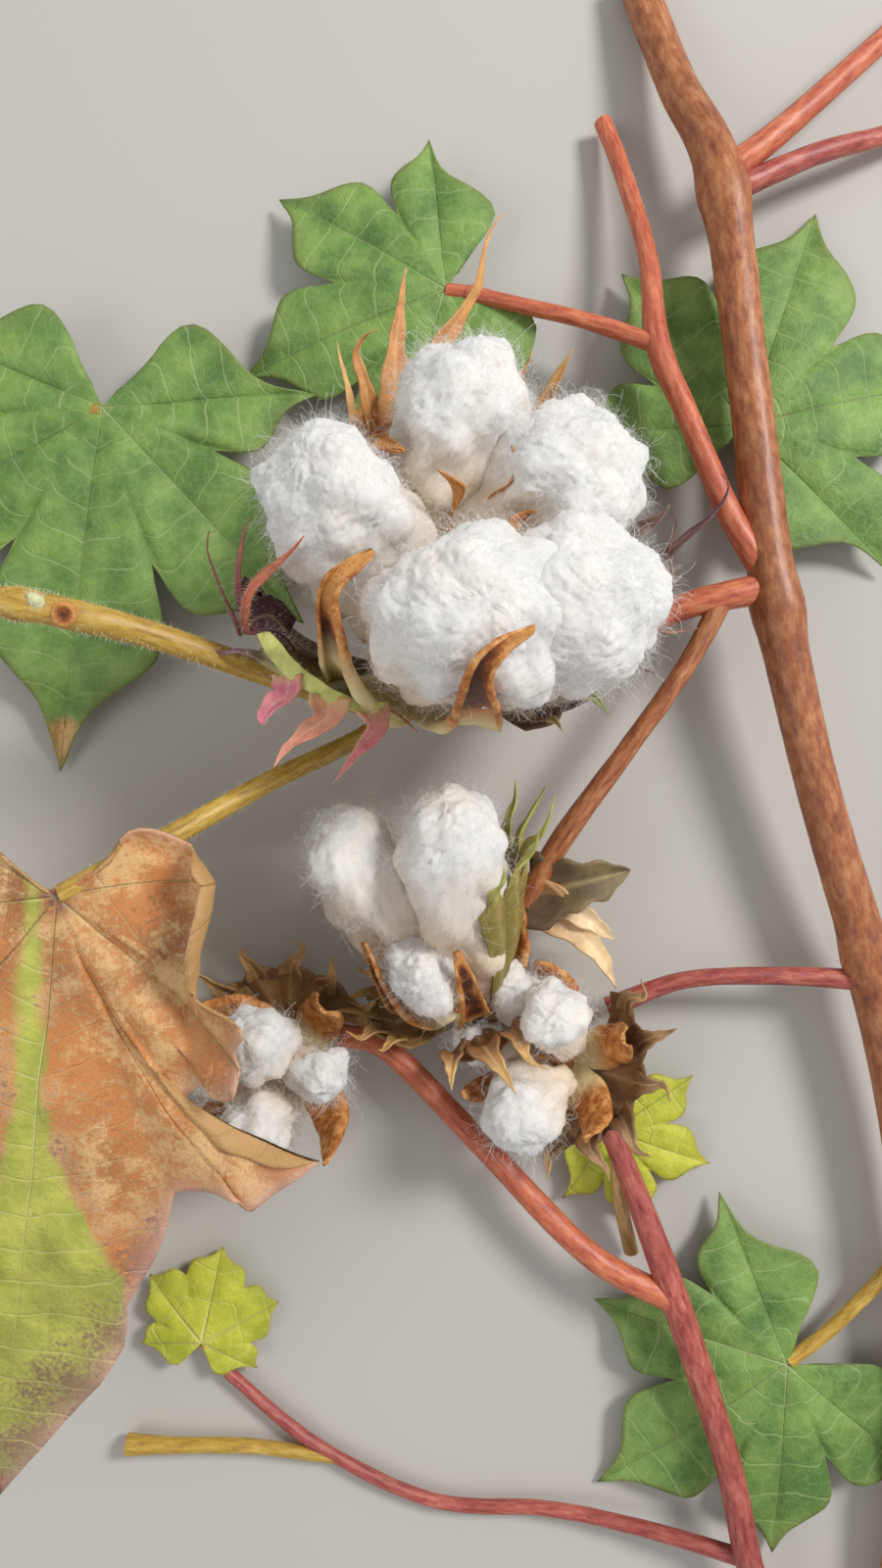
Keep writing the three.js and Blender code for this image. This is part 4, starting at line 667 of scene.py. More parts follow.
bolls = {
    "boll_1": {
        "base": [-3, 26.6, 17], "axis": [0.22, 0.42, 0.88],
        "lockFoot": [6, 9], "taper": 0.7,
        "locks": [[177, 23.9, 40.5, 13.2, 13, 1], [96, 24.1, 40.7, 14, 14, 1], [36, 19.5, 43, 14.4, 13.4, 1],
                  [316, 23, 43.7, 14.8, 14, 1.13], [265, 20.5, 44, 15.6, 13.5, 1.1]],
        "core": [6, 4.5, 37],
        "valvePath": [[4, 1], [15, 4.5], [24, 14], [28.5, 28], [25, 39], [18.5, 44]],
        "widths": [3, 5.5, 6, 5.6, 5, 3.6, 0.6], "rolls": [30, 70, 130, 190, 210, 190, 90],
        "valves": [
            {"ridge": [[-5.5, 23.4, 18], [-9.8, 18, 26], [-13, 16.4, 40], [-16, 19.4, 52], [-17.2, 25, 60.5],
                       [-16.9, 31, 67.5], [-10.5, 36.2, 69]],
             "widths": [3, 6, 8.2, 8.6, 7.6, 5, 2.8, 0.5], "rolls": [20, 40, 50, 110, 210, 240, 200, 60],
             "pale": 0.72, "brown": [0.54, 0.86]},
            {"ridge": [[-2.6, 22.8, 18], [0.6, 13, 30], [4.4, 11, 46], [5.4, 12.2, 60], [5.2, 14.9, 74.5],
                       [6.2, 17.9, 78.6], [9.3, 20.6, 79.6], [13.8, 22.9, 77.5]],
             "widths": [3, 5.6, 5.9, 6.5, 6.6, 5.2, 3, 0.5], "rolls": [20, 40, 50, 80, 200, 240, 220, 80],
             "pale": 0.6, "brown": [0.58, 0.98]},
            {"turn": 0, "size": 0.95}, {"turn": 68, "size": 0.97}, {"turn": 137, "size": 0.97}],
        "septa": [[66, 7, 12, 34, 47], [136, 5, 9.5, 34, 46], [352, 5, 9, 33, 44], [290, 4, 8, 33, 43]],
        "bracts": {
            "left": {"foot": [5, -3], "notch": 3.5, "cup": 1.2, "rise": 1.6, "blade": "#A8A268",
                     "rim": "#D3D67C", "lip": 1.6, "rolledRim": {
                         "seen": [(262, 634), (271, 650), (283, 667), (301, 686), (327, 704), (353, 717),
                                  (371, 722), (392, 719)],
                         "heights": (48, 50, 52, 53, 51, 48),
                         "halves": (0.5, 1.2, 1.5, 1.4, 1.2, 1.1, 0.9, 0.3)},
                     "teeth": {
                         "outerPurple": {
                             "root": [184, 36.5, 18], "heights": (41, 50), "half": 1.4, "full": 1,
                             "seen": [(247, 649), (236, 627), (225, 602), (216, 578), (211, 560), (213, 542)],
                             "tint": "#8A4650", "base": "#52303A"},
                         "straightPurple": {
                             "root": [191, 36, 20], "heights": (44.5, 54), "half": 1.2, "full": 1.6,
                             "seen": [(244, 618), (241, 594), (244, 567), (249, 543), (255, 527)],
                             "tint": "#94504E", "base": "#52303A"},
                         "tallRed": {
                             "root": [198, 34.5, 22], "heights": (48, 59, 69.5), "half": 2, "full": 1.5,
                             "seen": [(248, 640), (248, 613), (259, 594), (280, 576), (297, 562), (310, 547)],
                             "tint": "#D2644A", "base": "#52303A"},
                         "dullPurple": {
                             "root": [206, 37.5, 18], "heights": (47, 44), "half": 0.8, "full": 1,
                             "seen": [(260, 659), (242, 664), (225, 666), (203, 656)],
                             "tint": "#6A4458", "base": "#A0906A"},
                         "roundPink": {
                             "root": [218, 35.5, 22], "heights": (51, 55), "half": 2.1, "full": 5,
                             "covered": True,
                             "seen": [(308, 694), (293, 709), (279, 720), (269, 733), (270, 740)],
                             "tint": "#D4748A", "base": "#D6CE7C"},
                         "longPink": {
                             "root": [230, 33, 22.5], "heights": (52, 54), "half": 2.7, "full": 1,
                             "covered": True,
                             "seen": [(345, 716), (332, 733), (311, 748), (291, 765), (279, 783)],
                             "tint": "#E0907A", "base": "#D6CE7C"},
                         "lastPink": {
                             "root": [241, 29.5, 20], "heights": (48.5, 52), "half": 2.7, "full": 0.9,
                             "covered": True,
                             "seen": [(388, 723), (382, 742), (368, 761), (353, 781), (342, 797)],
                             "tint": "#DB7880", "base": "#D2CA7E"},
                         "shortRed": {
                             "root": [250, 26, 17], "heights": (44, 46), "half": 0.8, "full": 1,
                             "seen": [(404, 728), (415, 737), (426, 747)], "tint": "#A8504E"}}},
            "right": {"foot": [5, -3], "notch": 3, "cup": 1.2, "rise": 1.5, "blade": "#5E4436", "teeth": {
                "lowBrown": {"root": [-46, 30, 16], "heights": (37, 38), "half": 1.2, "full": 1,
                             "seen": [(568, 740), (574, 747)], "tint": "#8A7A4A"},
                "green": {"root": [-34, 32, 20], "heights": (37.5, 38.5), "half": 1.6, "full": 1,
                          "seen": [(610, 717), (622, 729)], "tint": "#7E8A4C"},
                "brown": {"root": [-22, 34.5, 24], "heights": (38, 40), "half": 1.2, "full": 1,
                          "seen": [(650, 682), (668, 687)], "tint": "#6A4A42"},
                "level": {"root": [-11, 37, 28], "heights": (38.5, 40), "half": 1, "full": 1.6,
                          "seen": [(684, 645), (713, 641)], "tint": "#8E6E66"},
                "thin": {"root": [-1, 38.4, 31.6], "heights": (37.5, 41), "half": 0.5, "full": 1.5,
                         "seen": [(683, 560), (689, 541), (690, 531), (685, 524)], "tint": "#5C3438"},
                "hooked": {"root": [8, 37.5, 33.5], "heights": (38, 42), "half": 0.95, "full": 1.1,
                           "seen": [(702, 546), (720, 532), (734, 517), (743, 500), (741, 488), (736, 484)],
                           "tint": "#54303A"},
                "papery": {"root": [18, 34.5, 33], "heights": (37.5, 40), "half": 1.4, "full": 3,
                           "seen": [(668, 532), (679, 522), (683, 515)], "tint": "#9A7C76"}}},
            "top": {"foot": [5, -3], "notch": 3, "cup": 1.15, "rise": 1.4, "blade": "#CC9458", "lip": 1,
                    "teeth": {
                "farRight": {"root": [67, 38.5, 33], "heights": (32, 36), "half": 2.1, "full": 1.2,
                             "seen": [(567, 387), (585, 356)], "tint": "#DFA562"},
                "hidden": {"root": [76, 41, 33.5], "heights": (29, 31), "half": 1.4, "full": 1,
                           "seen": [(535, 378), (543, 359)], "tint": "#C68E50"},
                "short": {"root": [89, 46, 32.5], "heights": (29, 31.5), "half": 1, "full": 1,
                          "seen": [(473, 344), (474, 329)], "tint": "#B87A44"},
                "tallest": {"root": [97, 46, 32], "heights": (28.5, 34), "half": 2.3, "full": 0.75,
                            "seen": [(467, 326), (487, 292), (493, 261), (500, 237), (513, 217)],
                            "tint": "#D99A5C"},
                "broad": {"root": [107, 43.5, 30.5], "heights": (31, 36), "half": 3, "full": 0.95,
                          "seen": [(404, 345), (408, 315), (411, 290), (414, 274)], "tint": "#DE9C66"},
                "hooked": {"root": [115, 43, 28.7], "heights": (31.5, 35.5), "half": 1.4, "full": 1.3,
                           "seen": [(363, 362), (369, 346), (376, 339), (387, 337)], "tint": "#D29258"},
                "farLeft": {"root": [121, 39, 27], "heights": (32.5, 36), "half": 1.5, "full": 0.9,
                            "seen": [(354, 394), (347, 366), (344, 348)], "tint": "#E2AE72"}}},
        },
    },
    "boll_2": {
        "base": [4.6, -46, 12.6], "axis": [-0.24, 0.87, 0.42],
        "lockFoot": [3, 5], "taper": 0.6,
        "locks": [[182, 12.5, 39, 10, 12, 1], [315, 10, 40.5, 11, 13, 0.95], [246, 9.6, 17, 8.8, 7.5, 1],
                  [75, 7, 30, 8, 9, 1]],
        "core": [4.2, 2.6, 24],
        "valvePath": [[2.5, 1], [9, 3], [14, 9], [16, 18], [17, 27]],
        "widths": [2.5, 4.6, 4, 2.8, 0.6], "rolls": [30, 80, 160, 190, 90],
        "valves": [{"turn": 214, "size": 0.95}, {"turn": 286, "size": 0.85}, {"turn": 15, "size": 1},
                   {"turn": 128, "size": 1}],
        "bracts": {
            "left": {"foot": [3.5, -2], "notch": 2, "cup": 1.1, "rise": 1.5, "blade": "#8A6A3C",
                     "fan": [190, 38, 19, 6, [6, 7, 8, 6, 5], 10], "tooth": "#B88A50"},
            "right": {"foot": [3.5, -2], "notch": 4, "cup": 1.3, "rise": 1.2, "blade": "#8C7C3A",
                      "fan": [352, 40, 20, 34, [9, 11, 14, 12, 9], 50], "tooth": "#A8AC54"},
            "lower": {"foot": [3.5, -2], "notch": 3, "cup": 1.2, "rise": 1.3, "blade": "#8A5E38",
                      "fan": [285, 22, 17, 2, [8, 12, 11], -25], "tooth": "#D0A468"},
        },
    },
    "boll_3": {
        "base": [-31.5, -57.2, 8.5], "axis": [-0.22, -0.05, 0.97],
        "lockFoot": [2.5, 4], "taper": 0.6,
        "locks": [[95, 8, 17, 7.8, 7, 1], [172, 12, 13, 7.4, 7, 1], [262, 9.4, 15.5, 7.4, 7, 1],
                  [5, 11.5, 13.5, 6.2, 6, 0.95]],
        "core": [3.6, 2.2, 13],
        "valvePath": [[2.5, 0.6], [9, 1.5], [14.5, 6], [17.5, 13], [19, 17]],
        "widths": [2.4, 5.2, 5.6, 3.6, 0.6], "rolls": [30, 80, 160, 190, 90],
        "valves": [{"turn": 50, "size": 1.05}, {"turn": 132, "size": 1}, {"turn": 218, "size": 1},
                   {"turn": 314, "size": 1.05}],
        "bracts": {
            "whorl": {"foot": [3, -2], "notch": 2.5, "cup": 1.1, "rise": 1.6, "blade": "#8A6840",
                      "fan": [110, 75, 20, 3, [5, 6, 7, 6, 7, 6, 5], 8], "tooth": "#B48A58"},
        },
    },
    "boll_4": {
        "base": [25.4, -56.6, 10], "axis": [-0.42, 0.22, 0.88],
        "lockFoot": [2.5, 4], "taper": 0.6,
        "locks": [[248, 11.5, 14.5, 8.8, 8, 1], [60, 9, 19, 7, 6, 1], [168, 14.5, 14, 5.2, 5, 1],
                  [112, 14.5, 16, 6, 6, 1]],
        "core": [3.6, 2.2, 14],
        "valvePath": [[2.5, 0.6], [9, 1.8], [14, 6], [17, 13], [18, 18]],
        "widths": [2.4, 5, 5.2, 3.4, 0.6], "rolls": [30, 80, 160, 190, 90],
        "valves": [{"turn": 10, "size": 1}, {"turn": 86, "size": 1}, {"turn": 142, "size": 0.9},
                   {"turn": 205, "size": 0.95}, {"turn": 304, "size": 1}],
        "bracts": {
            "whorl": {"foot": [3, -2], "notch": 2.5, "cup": 1.1, "rise": 1.6, "blade": "#7C5A3A",
                      "fan": [330, 66, 18.5, 4, [6, 8, 9, 7, 8, 6], 6], "tooth": "#A8825A"},
        },
    },
}


class BollFrame:
    def __init__(self, boll):
        self.axis = np.array(boll["axis"], float) / np.linalg.norm(boll["axis"])
        east = np.array([1.0, 0, 0]) - self.axis * self.axis[0]
        self.east = east / np.linalg.norm(east)
        self.north = np.cross(self.axis, self.east)
        self.base = np.array(boll["base"], float)

    def at(self, turn, out, up):
        turn, out, up = np.broadcast_arrays(np.radians(turn), out, up)
        return (self.base + self.east * (out * np.cos(turn))[..., None]
                + self.north * (out * np.sin(turn))[..., None] + self.axis * up[..., None])


# The burr: dried valves, each a boat whose rims roll away from the lint

# Ripples are (share of the width, turns along the valve); the wrinkle is its depth and its sizes, in mm
valveShape = {"rows": 50, "columns": 41, "thickness": 0.8, "thinned": 0.35, "tightness": 3, "lift": 0.85,
              "ripples": ((0.07, 15), (0.05, 31)), "lopsided": 0.1, "wrinkle": 0.24, "wrinkles": (2.6, 1.1)}
smallValve = {"rows": 30, "columns": 27}  # on the small bolls
septumShape = {"rows": 14, "columns": 8, "thickness": 0.4, "sway": 16}
columnShape = {"rows": 30, "columns": 40, "flute": 0.28}


def spread(values, count):
    return np.interp(np.linspace(0, 1, count), np.linspace(0, 1, len(values)), values)


def valveShell(boll, spec, seed):
    axes = BollFrame(boll)
    size = spec.get("size", 1)
    ridge = spec.get("ridge")
    if ridge is None:
        path = np.array(boll["valvePath"]) * size
        ridge = axes.at(spec["turn"], path[:, 0], path[:, 1])
    grid = valveShape if len(boll["rolls"]) > 5 else smallValve
    rows, columns = grid["rows"], grid["columns"]
    spots = smoothLine(ridge, rows, even=True)
    tangents = np.gradient(spots, axis=0)
    tangents /= np.linalg.norm(tangents, axis=1, keepdims=True)
    outward = spots - axes.at(0, 0, boll["core"][2])
    outward -= tangents * np.sum(outward * tangents, axis=1, keepdims=True)
    outward /= np.linalg.norm(outward, axis=1, keepdims=True)
    across = np.cross(outward, tangents)
    t = np.linspace(0, 1, rows)[:, None]
    widths = spread(spec.get("widths", boll["widths"]), rows)[:, None] * size
    rolls = np.radians(spread(spec.get("rolls", boll["rolls"]), rows))[:, None]
    s = np.linspace(-1, 1, columns)[None, :]
    # each rim ripples and rolls up more tightly towards its edge, as a split husk dries
    (slow, slowTurns), (fast, fastTurns) = valveShape["ripples"]
    ripple = 1 + slow * np.sin(t * slowTurns + seed * 1.3) + fast * np.sin(t * fastTurns + seed)
    ripple = ripple + valveShape["lopsided"] * np.sign(s) * math.sin(seed)
    bend = rolls * ripple * np.abs(s) ** valveShape["tightness"] * np.sign(s)
    step = 2 / (columns - 1)
    half = columns // 2
    sideways, lifted = (np.cumsum(f(bend), axis=1) * step for f in (np.cos, np.sin))
    sideways, lifted = (a - a[:, half:half + 1] for a in (sideways, lifted))
    points = (spots[:, None, :] + across[:, None, :] * (widths * sideways)[..., None]
              + outward[:, None, :] * (widths * lifted * valveShape["lift"])[..., None]).reshape(-1, 3)
    faces = gridFaces(rows, columns)
    normals = normalsOf(points, faces)
    wide, narrow = valveShape["wrinkles"]
    wrinkle = lumps(points, wide, seed) + 0.5 * lumps(points, narrow, seed + 3)
    points = points + normals * (wrinkle * valveShape["wrinkle"])[:, None]
    # dark along the middle of each valve's channel, over the span named brown: the husk's own brown deepened
    # by painted shade of the hollow
    brown = spec.get("brown", [0.3, 0.95])
    deep = np.clip((t - brown[0]) * 9, 0, 1) * np.clip((brown[1] - t) * 9, 0, 1)
    hollow = ((1 - np.abs(s) ** 3) * deep * (0.78 + 0.22 * np.sin(s * 3 + seed))).ravel()
    pale = (np.clip((spec.get("pale", 0.3) - t) * 7, 0, 1) + 0 * s).ravel()
    thin = (valveShape["thickness"] * (1 - valveShape["thinned"] * np.abs(s) ** 3) + 0 * t).ravel()
    outside = np.sum(normals[columns // 2::columns] * outward) > 0
    return thicken(points, faces if outside else faces[:, ::-1], thin, {"hollow": hollow, "pale": pale})


def septumShell(boll, spec, seed):
    # a papery wall between two locks, what is left of the husk's inner edge
    axes = BollFrame(boll)
    turn, inner, outer, low, high = spec
    rows, columns = septumShape["rows"], septumShape["columns"]
    t, v = np.linspace(0, 1, rows)[:, None], np.linspace(0, 1, columns)[None, :]
    turns = turn + septumShape["sway"] * np.sin(t * 5 + seed + v * 1.5) * t
    out = inner * (1 - v) + outer * v * (0.35 + 0.65 * t)
    points = axes.at(turns, out, low + (high - low) * t + v * 2 * t).reshape(-1, 3)
    flat = np.zeros(len(points))
    values = {"hollow": flat + 0.35, "pale": flat}
    return thicken(points, gridFaces(rows, columns), septumShape["thickness"], values)


def columnShell(boll):
    # the round base and the fluted column that the locks leave
    axes = BollFrame(boll)
    baseRadius, columnRadius, height = boll["core"]
    flutes, columns = len(boll["valves"]), columnShape["columns"]
    t = np.linspace(0, 1, columnShape["rows"])[:, None]
    turn = np.linspace(0, 360, columns + 1)[:-1][None, :]
    up = baseRadius * -0.5 + (height + baseRadius * 0.5) * t
    swell = np.maximum(0, 1 - np.abs(t * height - baseRadius * 0.4) / baseRadius)
    flute = 1 - columnShape["flute"] + columnShape["flute"] * np.cos(np.radians(turn * flutes))
    radius = np.maximum(columnRadius * flute * (1 - t * 0.8), baseRadius * np.sqrt(swell) + 0 * turn)
    radius = np.concatenate([radius[:1] * 0.02, radius, radius[-1:] * 0.02])
    up = np.concatenate([up[:1], up, up[-1:]])
    points = axes.at(turn, radius, up + 0 * turn).reshape(-1, 3)
    faces = gridFaces(len(up), columns, closed=True)[:, ::-1]
    top = (len(up) - 1) * columns
    caps = [[0, j, j + 1] for j in range(1, columns - 1)]
    caps += [[top, top + j + 1, top + j] for j in range(1, columns - 1)]
    faces = np.concatenate([faces, np.array(caps)[:, ::-1]])
    flat = np.zeros(len(points))
    return points, faces, {"hollow": flat + 0.45, "pale": flat, "upside": flat + 1}


# Bracts: a cupped blade whose rim is cut into long curved teeth

# A valley between teeth is rounded and a root sharp, and the cup keeps a share of its turn at its foot. The
# rim flares out over the last share of the blade
bractShape = {"rows": 18, "across": 6, "thickness": 0.5, "sharp": 1.7, "footTurn": 0.6, "lip": 0.5,
              "flare": 0.18, "pleat": 0.5, "lumpSize": 5, "lump": 0.5}
# A tooth is buried for a share of its length, folds, twists and waves, and swells where it leaves the rim. A
# first place this near its root, in mm, is the root itself
toothShape = {"rows": 22, "columns": 11, "buried": 0.25, "twist": 0.6, "root": 0.5, "wave": 0.13,
              "fold": 0.45, "near": 2.5, "cream": "#E8C890"}


def evenTeeth(turn, fan, out, up, lengths, slope, colour):
    # a row of like teeth, each bowed a little its own way
    teeth = []
    for k, (a, n) in enumerate(zip(turn + fan * np.linspace(-1, 1, len(lengths)), lengths)):
        reach, lift = n * math.cos(math.radians(slope)), n * math.sin(math.radians(slope))
        middle = [a + 5 * math.sin(k * 2.3), out + reach / 2 + 0.8, up + lift / 2]
        tip = [a + 4 * math.sin(k * 1.7), out + reach - 0.6, up + lift + 0.8]
        teeth.append({"root": [a, out, up], "route": [middle, tip], "half": 0.9 + 0.09 * n, "full": 1,
                      "tint": colour})
    return teeth


def toothShell(route, sideways, halfWidth, fullness, number, seed, rootTint, tint,
               buried=toothShape["buried"]):
    # one curved, folded and tapered blade along its route, with its first share buried in the cup
    line = smoothLine(route, toothShape["rows"], even=True)
    run = np.gradient(line, axis=0)
    run /= np.linalg.norm(run, axis=1, keepdims=True)
    s = np.clip(np.linspace(-buried, 1, len(line)), 0, 1)[:, None]
    v = np.linspace(-1, 1, toothShape["columns"])[None, :]
    lateral = sideways - run * np.sum(run * sideways, axis=1, keepdims=True)
    lateral /= np.maximum(np.linalg.norm(lateral, axis=1, keepdims=True), 0.2)
    fold = np.cross(run, lateral)
    twist = toothShape["twist"] * math.sin(number * 1.7 + seed) * s
    c, d = np.cos(twist), np.sin(twist)
    lateral, fold = lateral * c + fold * d, fold * c - lateral * d
    half = halfWidth * np.clip(1 - s ** fullness, 0.04, 1) * (1 + toothShape["root"] * (1 - s) ** 5)
    half = half * (1 + toothShape["wave"] * np.sin(s * 19 + number) * np.abs(v))
    sheet = (line[:, None, :] + lateral[:, None, :] * (half * v)[..., None]
             + fold[:, None, :] * (half * toothShape["fold"] * np.abs(v) ** 1.5)[..., None])
    ripe = np.clip((s + 0.19 - buried) * 2.6, 0, 1)[..., None]
    creamy = np.clip(0.15 + 0.3 * np.sin(s * 8 + v * 2 + number) + 0.4 * v ** 4, 0, 0.8)[..., None]
    grown = tint * (1 - creamy) + np.sqrt(tint * np.array(linear(toothShape["cream"]))) * creamy
    tints = (rootTint * (1 - ripe) + grown * ripe).reshape(-1, 4)
    ribs = (np.clip(1 - np.abs(v) * 5, 0, 1) * 0.9 + 0 * s).ravel()
    slim = (bractShape["thickness"] * (1.15 - 0.7 * s) + 0 * v).ravel()
    return thicken(sheet.reshape(-1, 3), gridFaces(len(line), v.size), slim, {"tint": tints, "ribs": ribs})


def bractShell(boll, spec, seed):
    axes = BollFrame(boll)
    teeth = list(spec["teeth"].values()) if "teeth" in spec else evenTeeth(*spec["fan"], spec["tooth"])
    roots = np.array([tooth["root"] for tooth in teeth], float)
    halves = np.concatenate([[1.5 * roots[0] - 0.5 * roots[1]], (roots[1:] + roots[:-1]) / 2,
                             [1.5 * roots[-1] - 0.5 * roots[-2]]])
    valleys = halves - [0, spec["notch"] * 0.3, spec["notch"]]
    rim = np.empty((2 * len(roots) + 1, 3))
    rim[0::2], rim[1::2] = valleys, roots
    tints = [np.array(linear(tooth["tint"])) for tooth in teeth]
    blade, rimLight = np.array(linear(spec["blade"])), np.array(linear(spec.get("rim", spec["blade"])))
    rootTints = np.array([linear(tooth["base"]) if "base" in tooth else rimLight for tooth in teeth])
    steps = bractShape["across"]
    u = np.linspace(0, len(rim) - 1, (len(rim) - 1) * steps + 1)
    k = np.minimum(u.astype(int), len(rim) - 2)
    f = u - k
    sharp, footTurn, flare = (bractShape[key] for key in ("sharp", "footTurn", "flare"))
    ease = np.where(k % 2 == 0, f ** sharp, 1 - (1 - f) ** sharp)[:, None]
    edge = rim[k] * (1 - ease) + rim[k + 1] * ease
    middle = (roots[0, 0] + roots[-1, 0]) / 2
    rows = bractShape["rows"]
    t = np.linspace(0, 1, rows)[:, None]
    flared = spec.get("lip", bractShape["lip"])
    lip = flared * np.clip((t - 1 + flare) / flare, 0, 1) ** 1.5
    turn = middle + (edge[:, 0] - middle) * (footTurn + (1 - footTurn) * t)
    reach = edge[:, 1] - spec["foot"][0] - flared
    out = spec["foot"][0] + reach * np.sin(t * spec["cup"]) / math.sin(spec["cup"]) + lip
    up = spec["foot"][1] + (edge[:, 2] - spec["foot"][1]) * t ** spec["rise"]
    pleat = bractShape["pleat"] * np.cos(u * math.pi)[None, :] * t
    points = axes.at(turn, out - pleat, up).reshape(-1, 3)
    faces = gridFaces(rows, len(u))
    near = np.clip(((u - 1) / 2), 0, len(teeth) - 1)
    n = np.minimum(near.astype(int), len(teeth) - 2)
    g = (near - n)[:, None]
    rimTint = rootTints[n] * (1 - g) + rootTints[n + 1] * g
    blend = (np.clip((t - 0.8) / 0.12, 0, 1))[..., None]
    dark = np.clip(1.4 - rimTint[:, :3].max(axis=1, keepdims=True) * 4, 0, 0.9) if "lip" in spec else 0
    inner = (blade * (1 - dark) + rimTint * dark)[None]  # the blade darkens beside purple teeth
    tint = (inner * (1 - blend) + rimTint[None] * blend).reshape(-1, 4)
    ribs = (np.clip(1 - np.abs(np.abs((u % 2) - 1)) * 5, 0, 1)[None, :] * 0.5 + 0 * t).ravel()
    lump = lumps(points, bractShape["lumpSize"], seed) * bractShape["lump"]
    points = points + normalsOf(points, faces) * lump[:, None]
    thick = (bractShape["thickness"] * (1 + spec.get("lip", 0) * 0.7 * t ** 8) + 0 * u).ravel()
    parts = [thicken(points, faces, thick, {"tint": tint, "ribs": ribs})]
    grid = points.reshape(rows, len(u), 3)
    for number, tooth in enumerate(teeth):
        centre = (2 * number + 1) * steps
        start, lowest = grid[-1, centre], grid[-4, centre]
        sideways = grid[-1, centre + steps // 2] - grid[-1, centre - steps // 2]
        sideways /= np.linalg.norm(sideways)
        if "seen" in tooth:
            knots = list(seen(tooth["seen"], tooth["heights"]))
        else:
            knots = [axes.at(*spot) for spot in tooth["route"]]
        if np.linalg.norm(knots[0] - start) < toothShape["near"]:
            knots = knots[1:]
        covered = "covered" in tooth  # it starts under the rolled rim
        route = [start, *knots] if covered else [lowest, start, *knots]
        parts.append(toothShell(route, sideways, tooth["half"], tooth["full"], number, seed,
                                rootTints[number], tints[number],
                                0 if covered else toothShape["buried"]))
    if "rolledRim" in spec:
        parts.append(rolledRimShell(spec["rolledRim"], spec["rim"], seed))
    return parts


# Lumps are a size and a depth in mm, shades a size and a share of the colour
rimShape = {"rows": 60, "columns": 13, "thickness": 0.5, "arch": 0.16, "waver": 0.05, "lumps": (4, 0.12),
            "shades": (2.4, 0.1)}


def rolledRimShell(rolled, colour, seed):
    # the pale rim that rolls over the bract's edge: a low arched band along its line
    rows, columns = rimShape["rows"], rimShape["columns"]
    knots = np.column_stack([seen(rolled["seen"], rolled["heights"]), rolled["halves"]])
    path = smoothLine(knots, rows, even=True)
    line = path[:, :3]
    side = np.cross(np.gradient(line, axis=0), [0, 0, 1])
    side /= np.linalg.norm(side, axis=1, keepdims=True)
    v = np.linspace(-1, 1, columns)[None, :, None]
    wide = path[:, 3, None, None] * (1 + rimShape["waver"] * np.sin(np.linspace(0, 36, rows)))[:, None, None]
    sheet = line[:, None] + side[:, None] * v * wide
    sheet = (sheet + np.array([0, 0, 1]) * (1 - v ** 2) * wide * rimShape["arch"]).reshape(-1, 3)
    (size, depth), (shadeSize, shade) = rimShape["lumps"], rimShape["shades"]
    sheet = sheet + (lumps(sheet, size, seed) * depth)[:, None]
    lit = np.tile(linear(colour), (len(sheet), 1))
    lit[:, :3] *= (1 + shade * lumps(sheet, shadeSize, seed))[:, None]
    values = {"tint": lit, "ribs": 0 * lit[:, 0]}
    return thicken(sheet, gridFaces(rows, columns), rimShape["thickness"], values)


bractHair = {"Hair": plantHair, "Hair Density": 2.2e6, "Hair Length": 0.001, "Hair Radius": 0.000025}
burrObjects = {}
for index, (name, boll) in enumerate(bolls.items()):
    shells = [valveShell(boll, spec, index * 7 + k) for k, spec in enumerate(boll["valves"])]
    shells += [septumShell(boll, spec, k) for k, spec in enumerate(boll.get("septa", []))]
    burr = makeObject(f"{name}_burr_husk", shells + [columnShell(boll)], husk)
    place(burr, "burr", f"{name}_burr")
    burrObjects[name] = burr
    for k, (side, spec) in enumerate(boll["bracts"].items()):
        bract = makeObject(f"{name}_bract_{side}_blade", bractShell(boll, spec, index * 5 + k), bractBlade)
        if (name, side) == ("boll_1", "left"):
            applyTree(bract, hairTree, bractHair)
        place(bract, "bract", f"{name}_bract_{side}")

# A shrivelled bract on the drooping branch: two cream tongues and a dark blade behind them
shrivelled = {
    "upperTongue": {
        "seen": [(540, 908), (556, 915), (576, 924), (600, 938), (628, 960)],
        "heights": (15, 16.5, 17.5, 15.5, 11), "half": 2.3, "full": 2.4,
        "base": "#C09468", "tint": "#F0D2A8"},
    "lowerTongue": {
        "seen": [(540, 910), (556, 920), (571, 940), (592, 953), (611, 976), (629, 1009)],
        "heights": (15, 16, 16, 14.5, 11.5, 7), "half": 2.5, "full": 3,
        "base": "#C09468", "tint": "#F0D0A0"},
    "darkBlade": {
        "seen": [(540, 906), (560, 908), (600, 899), (643, 888)],
        "heights": (15, 17.5, 19.5, 18), "half": 4.6, "full": 4,
        "base": "#6A5440", "tint": "#6E5C40"},
}
acrossThem = np.array([0.35, 0.9, 0.1])
tongues = [toothShell(seen(spec["seen"], spec["heights"]), acrossThem, spec["half"], spec["full"], k, 3,
                      np.array(linear(spec["base"])), np.array(linear(spec["tint"])))
           for k, spec in enumerate(shrivelled.values())]
place(makeObject("drooping_branch_dry_bract", tongues, bractBlade), "bract")
print("stage: burrs and bracts made")


# Lint: each lock is a matted core and thousands of loose curled fibres

fibreShape = {"kinds": 14, "rings": 5, "sides": 3, "slimness": 0.009, "curl": 0.44}
# In metres, lint is pressed this near to a husk and no fibre grows this near to it. Powers above 1 make most
# fibres lie down and most of them short
fibreHabit = {"pressed": 0.0035, "clear": 0.0012, "swirl": 230.0, "stray": 0.25, "lying": 2.8, "short": 3.0}


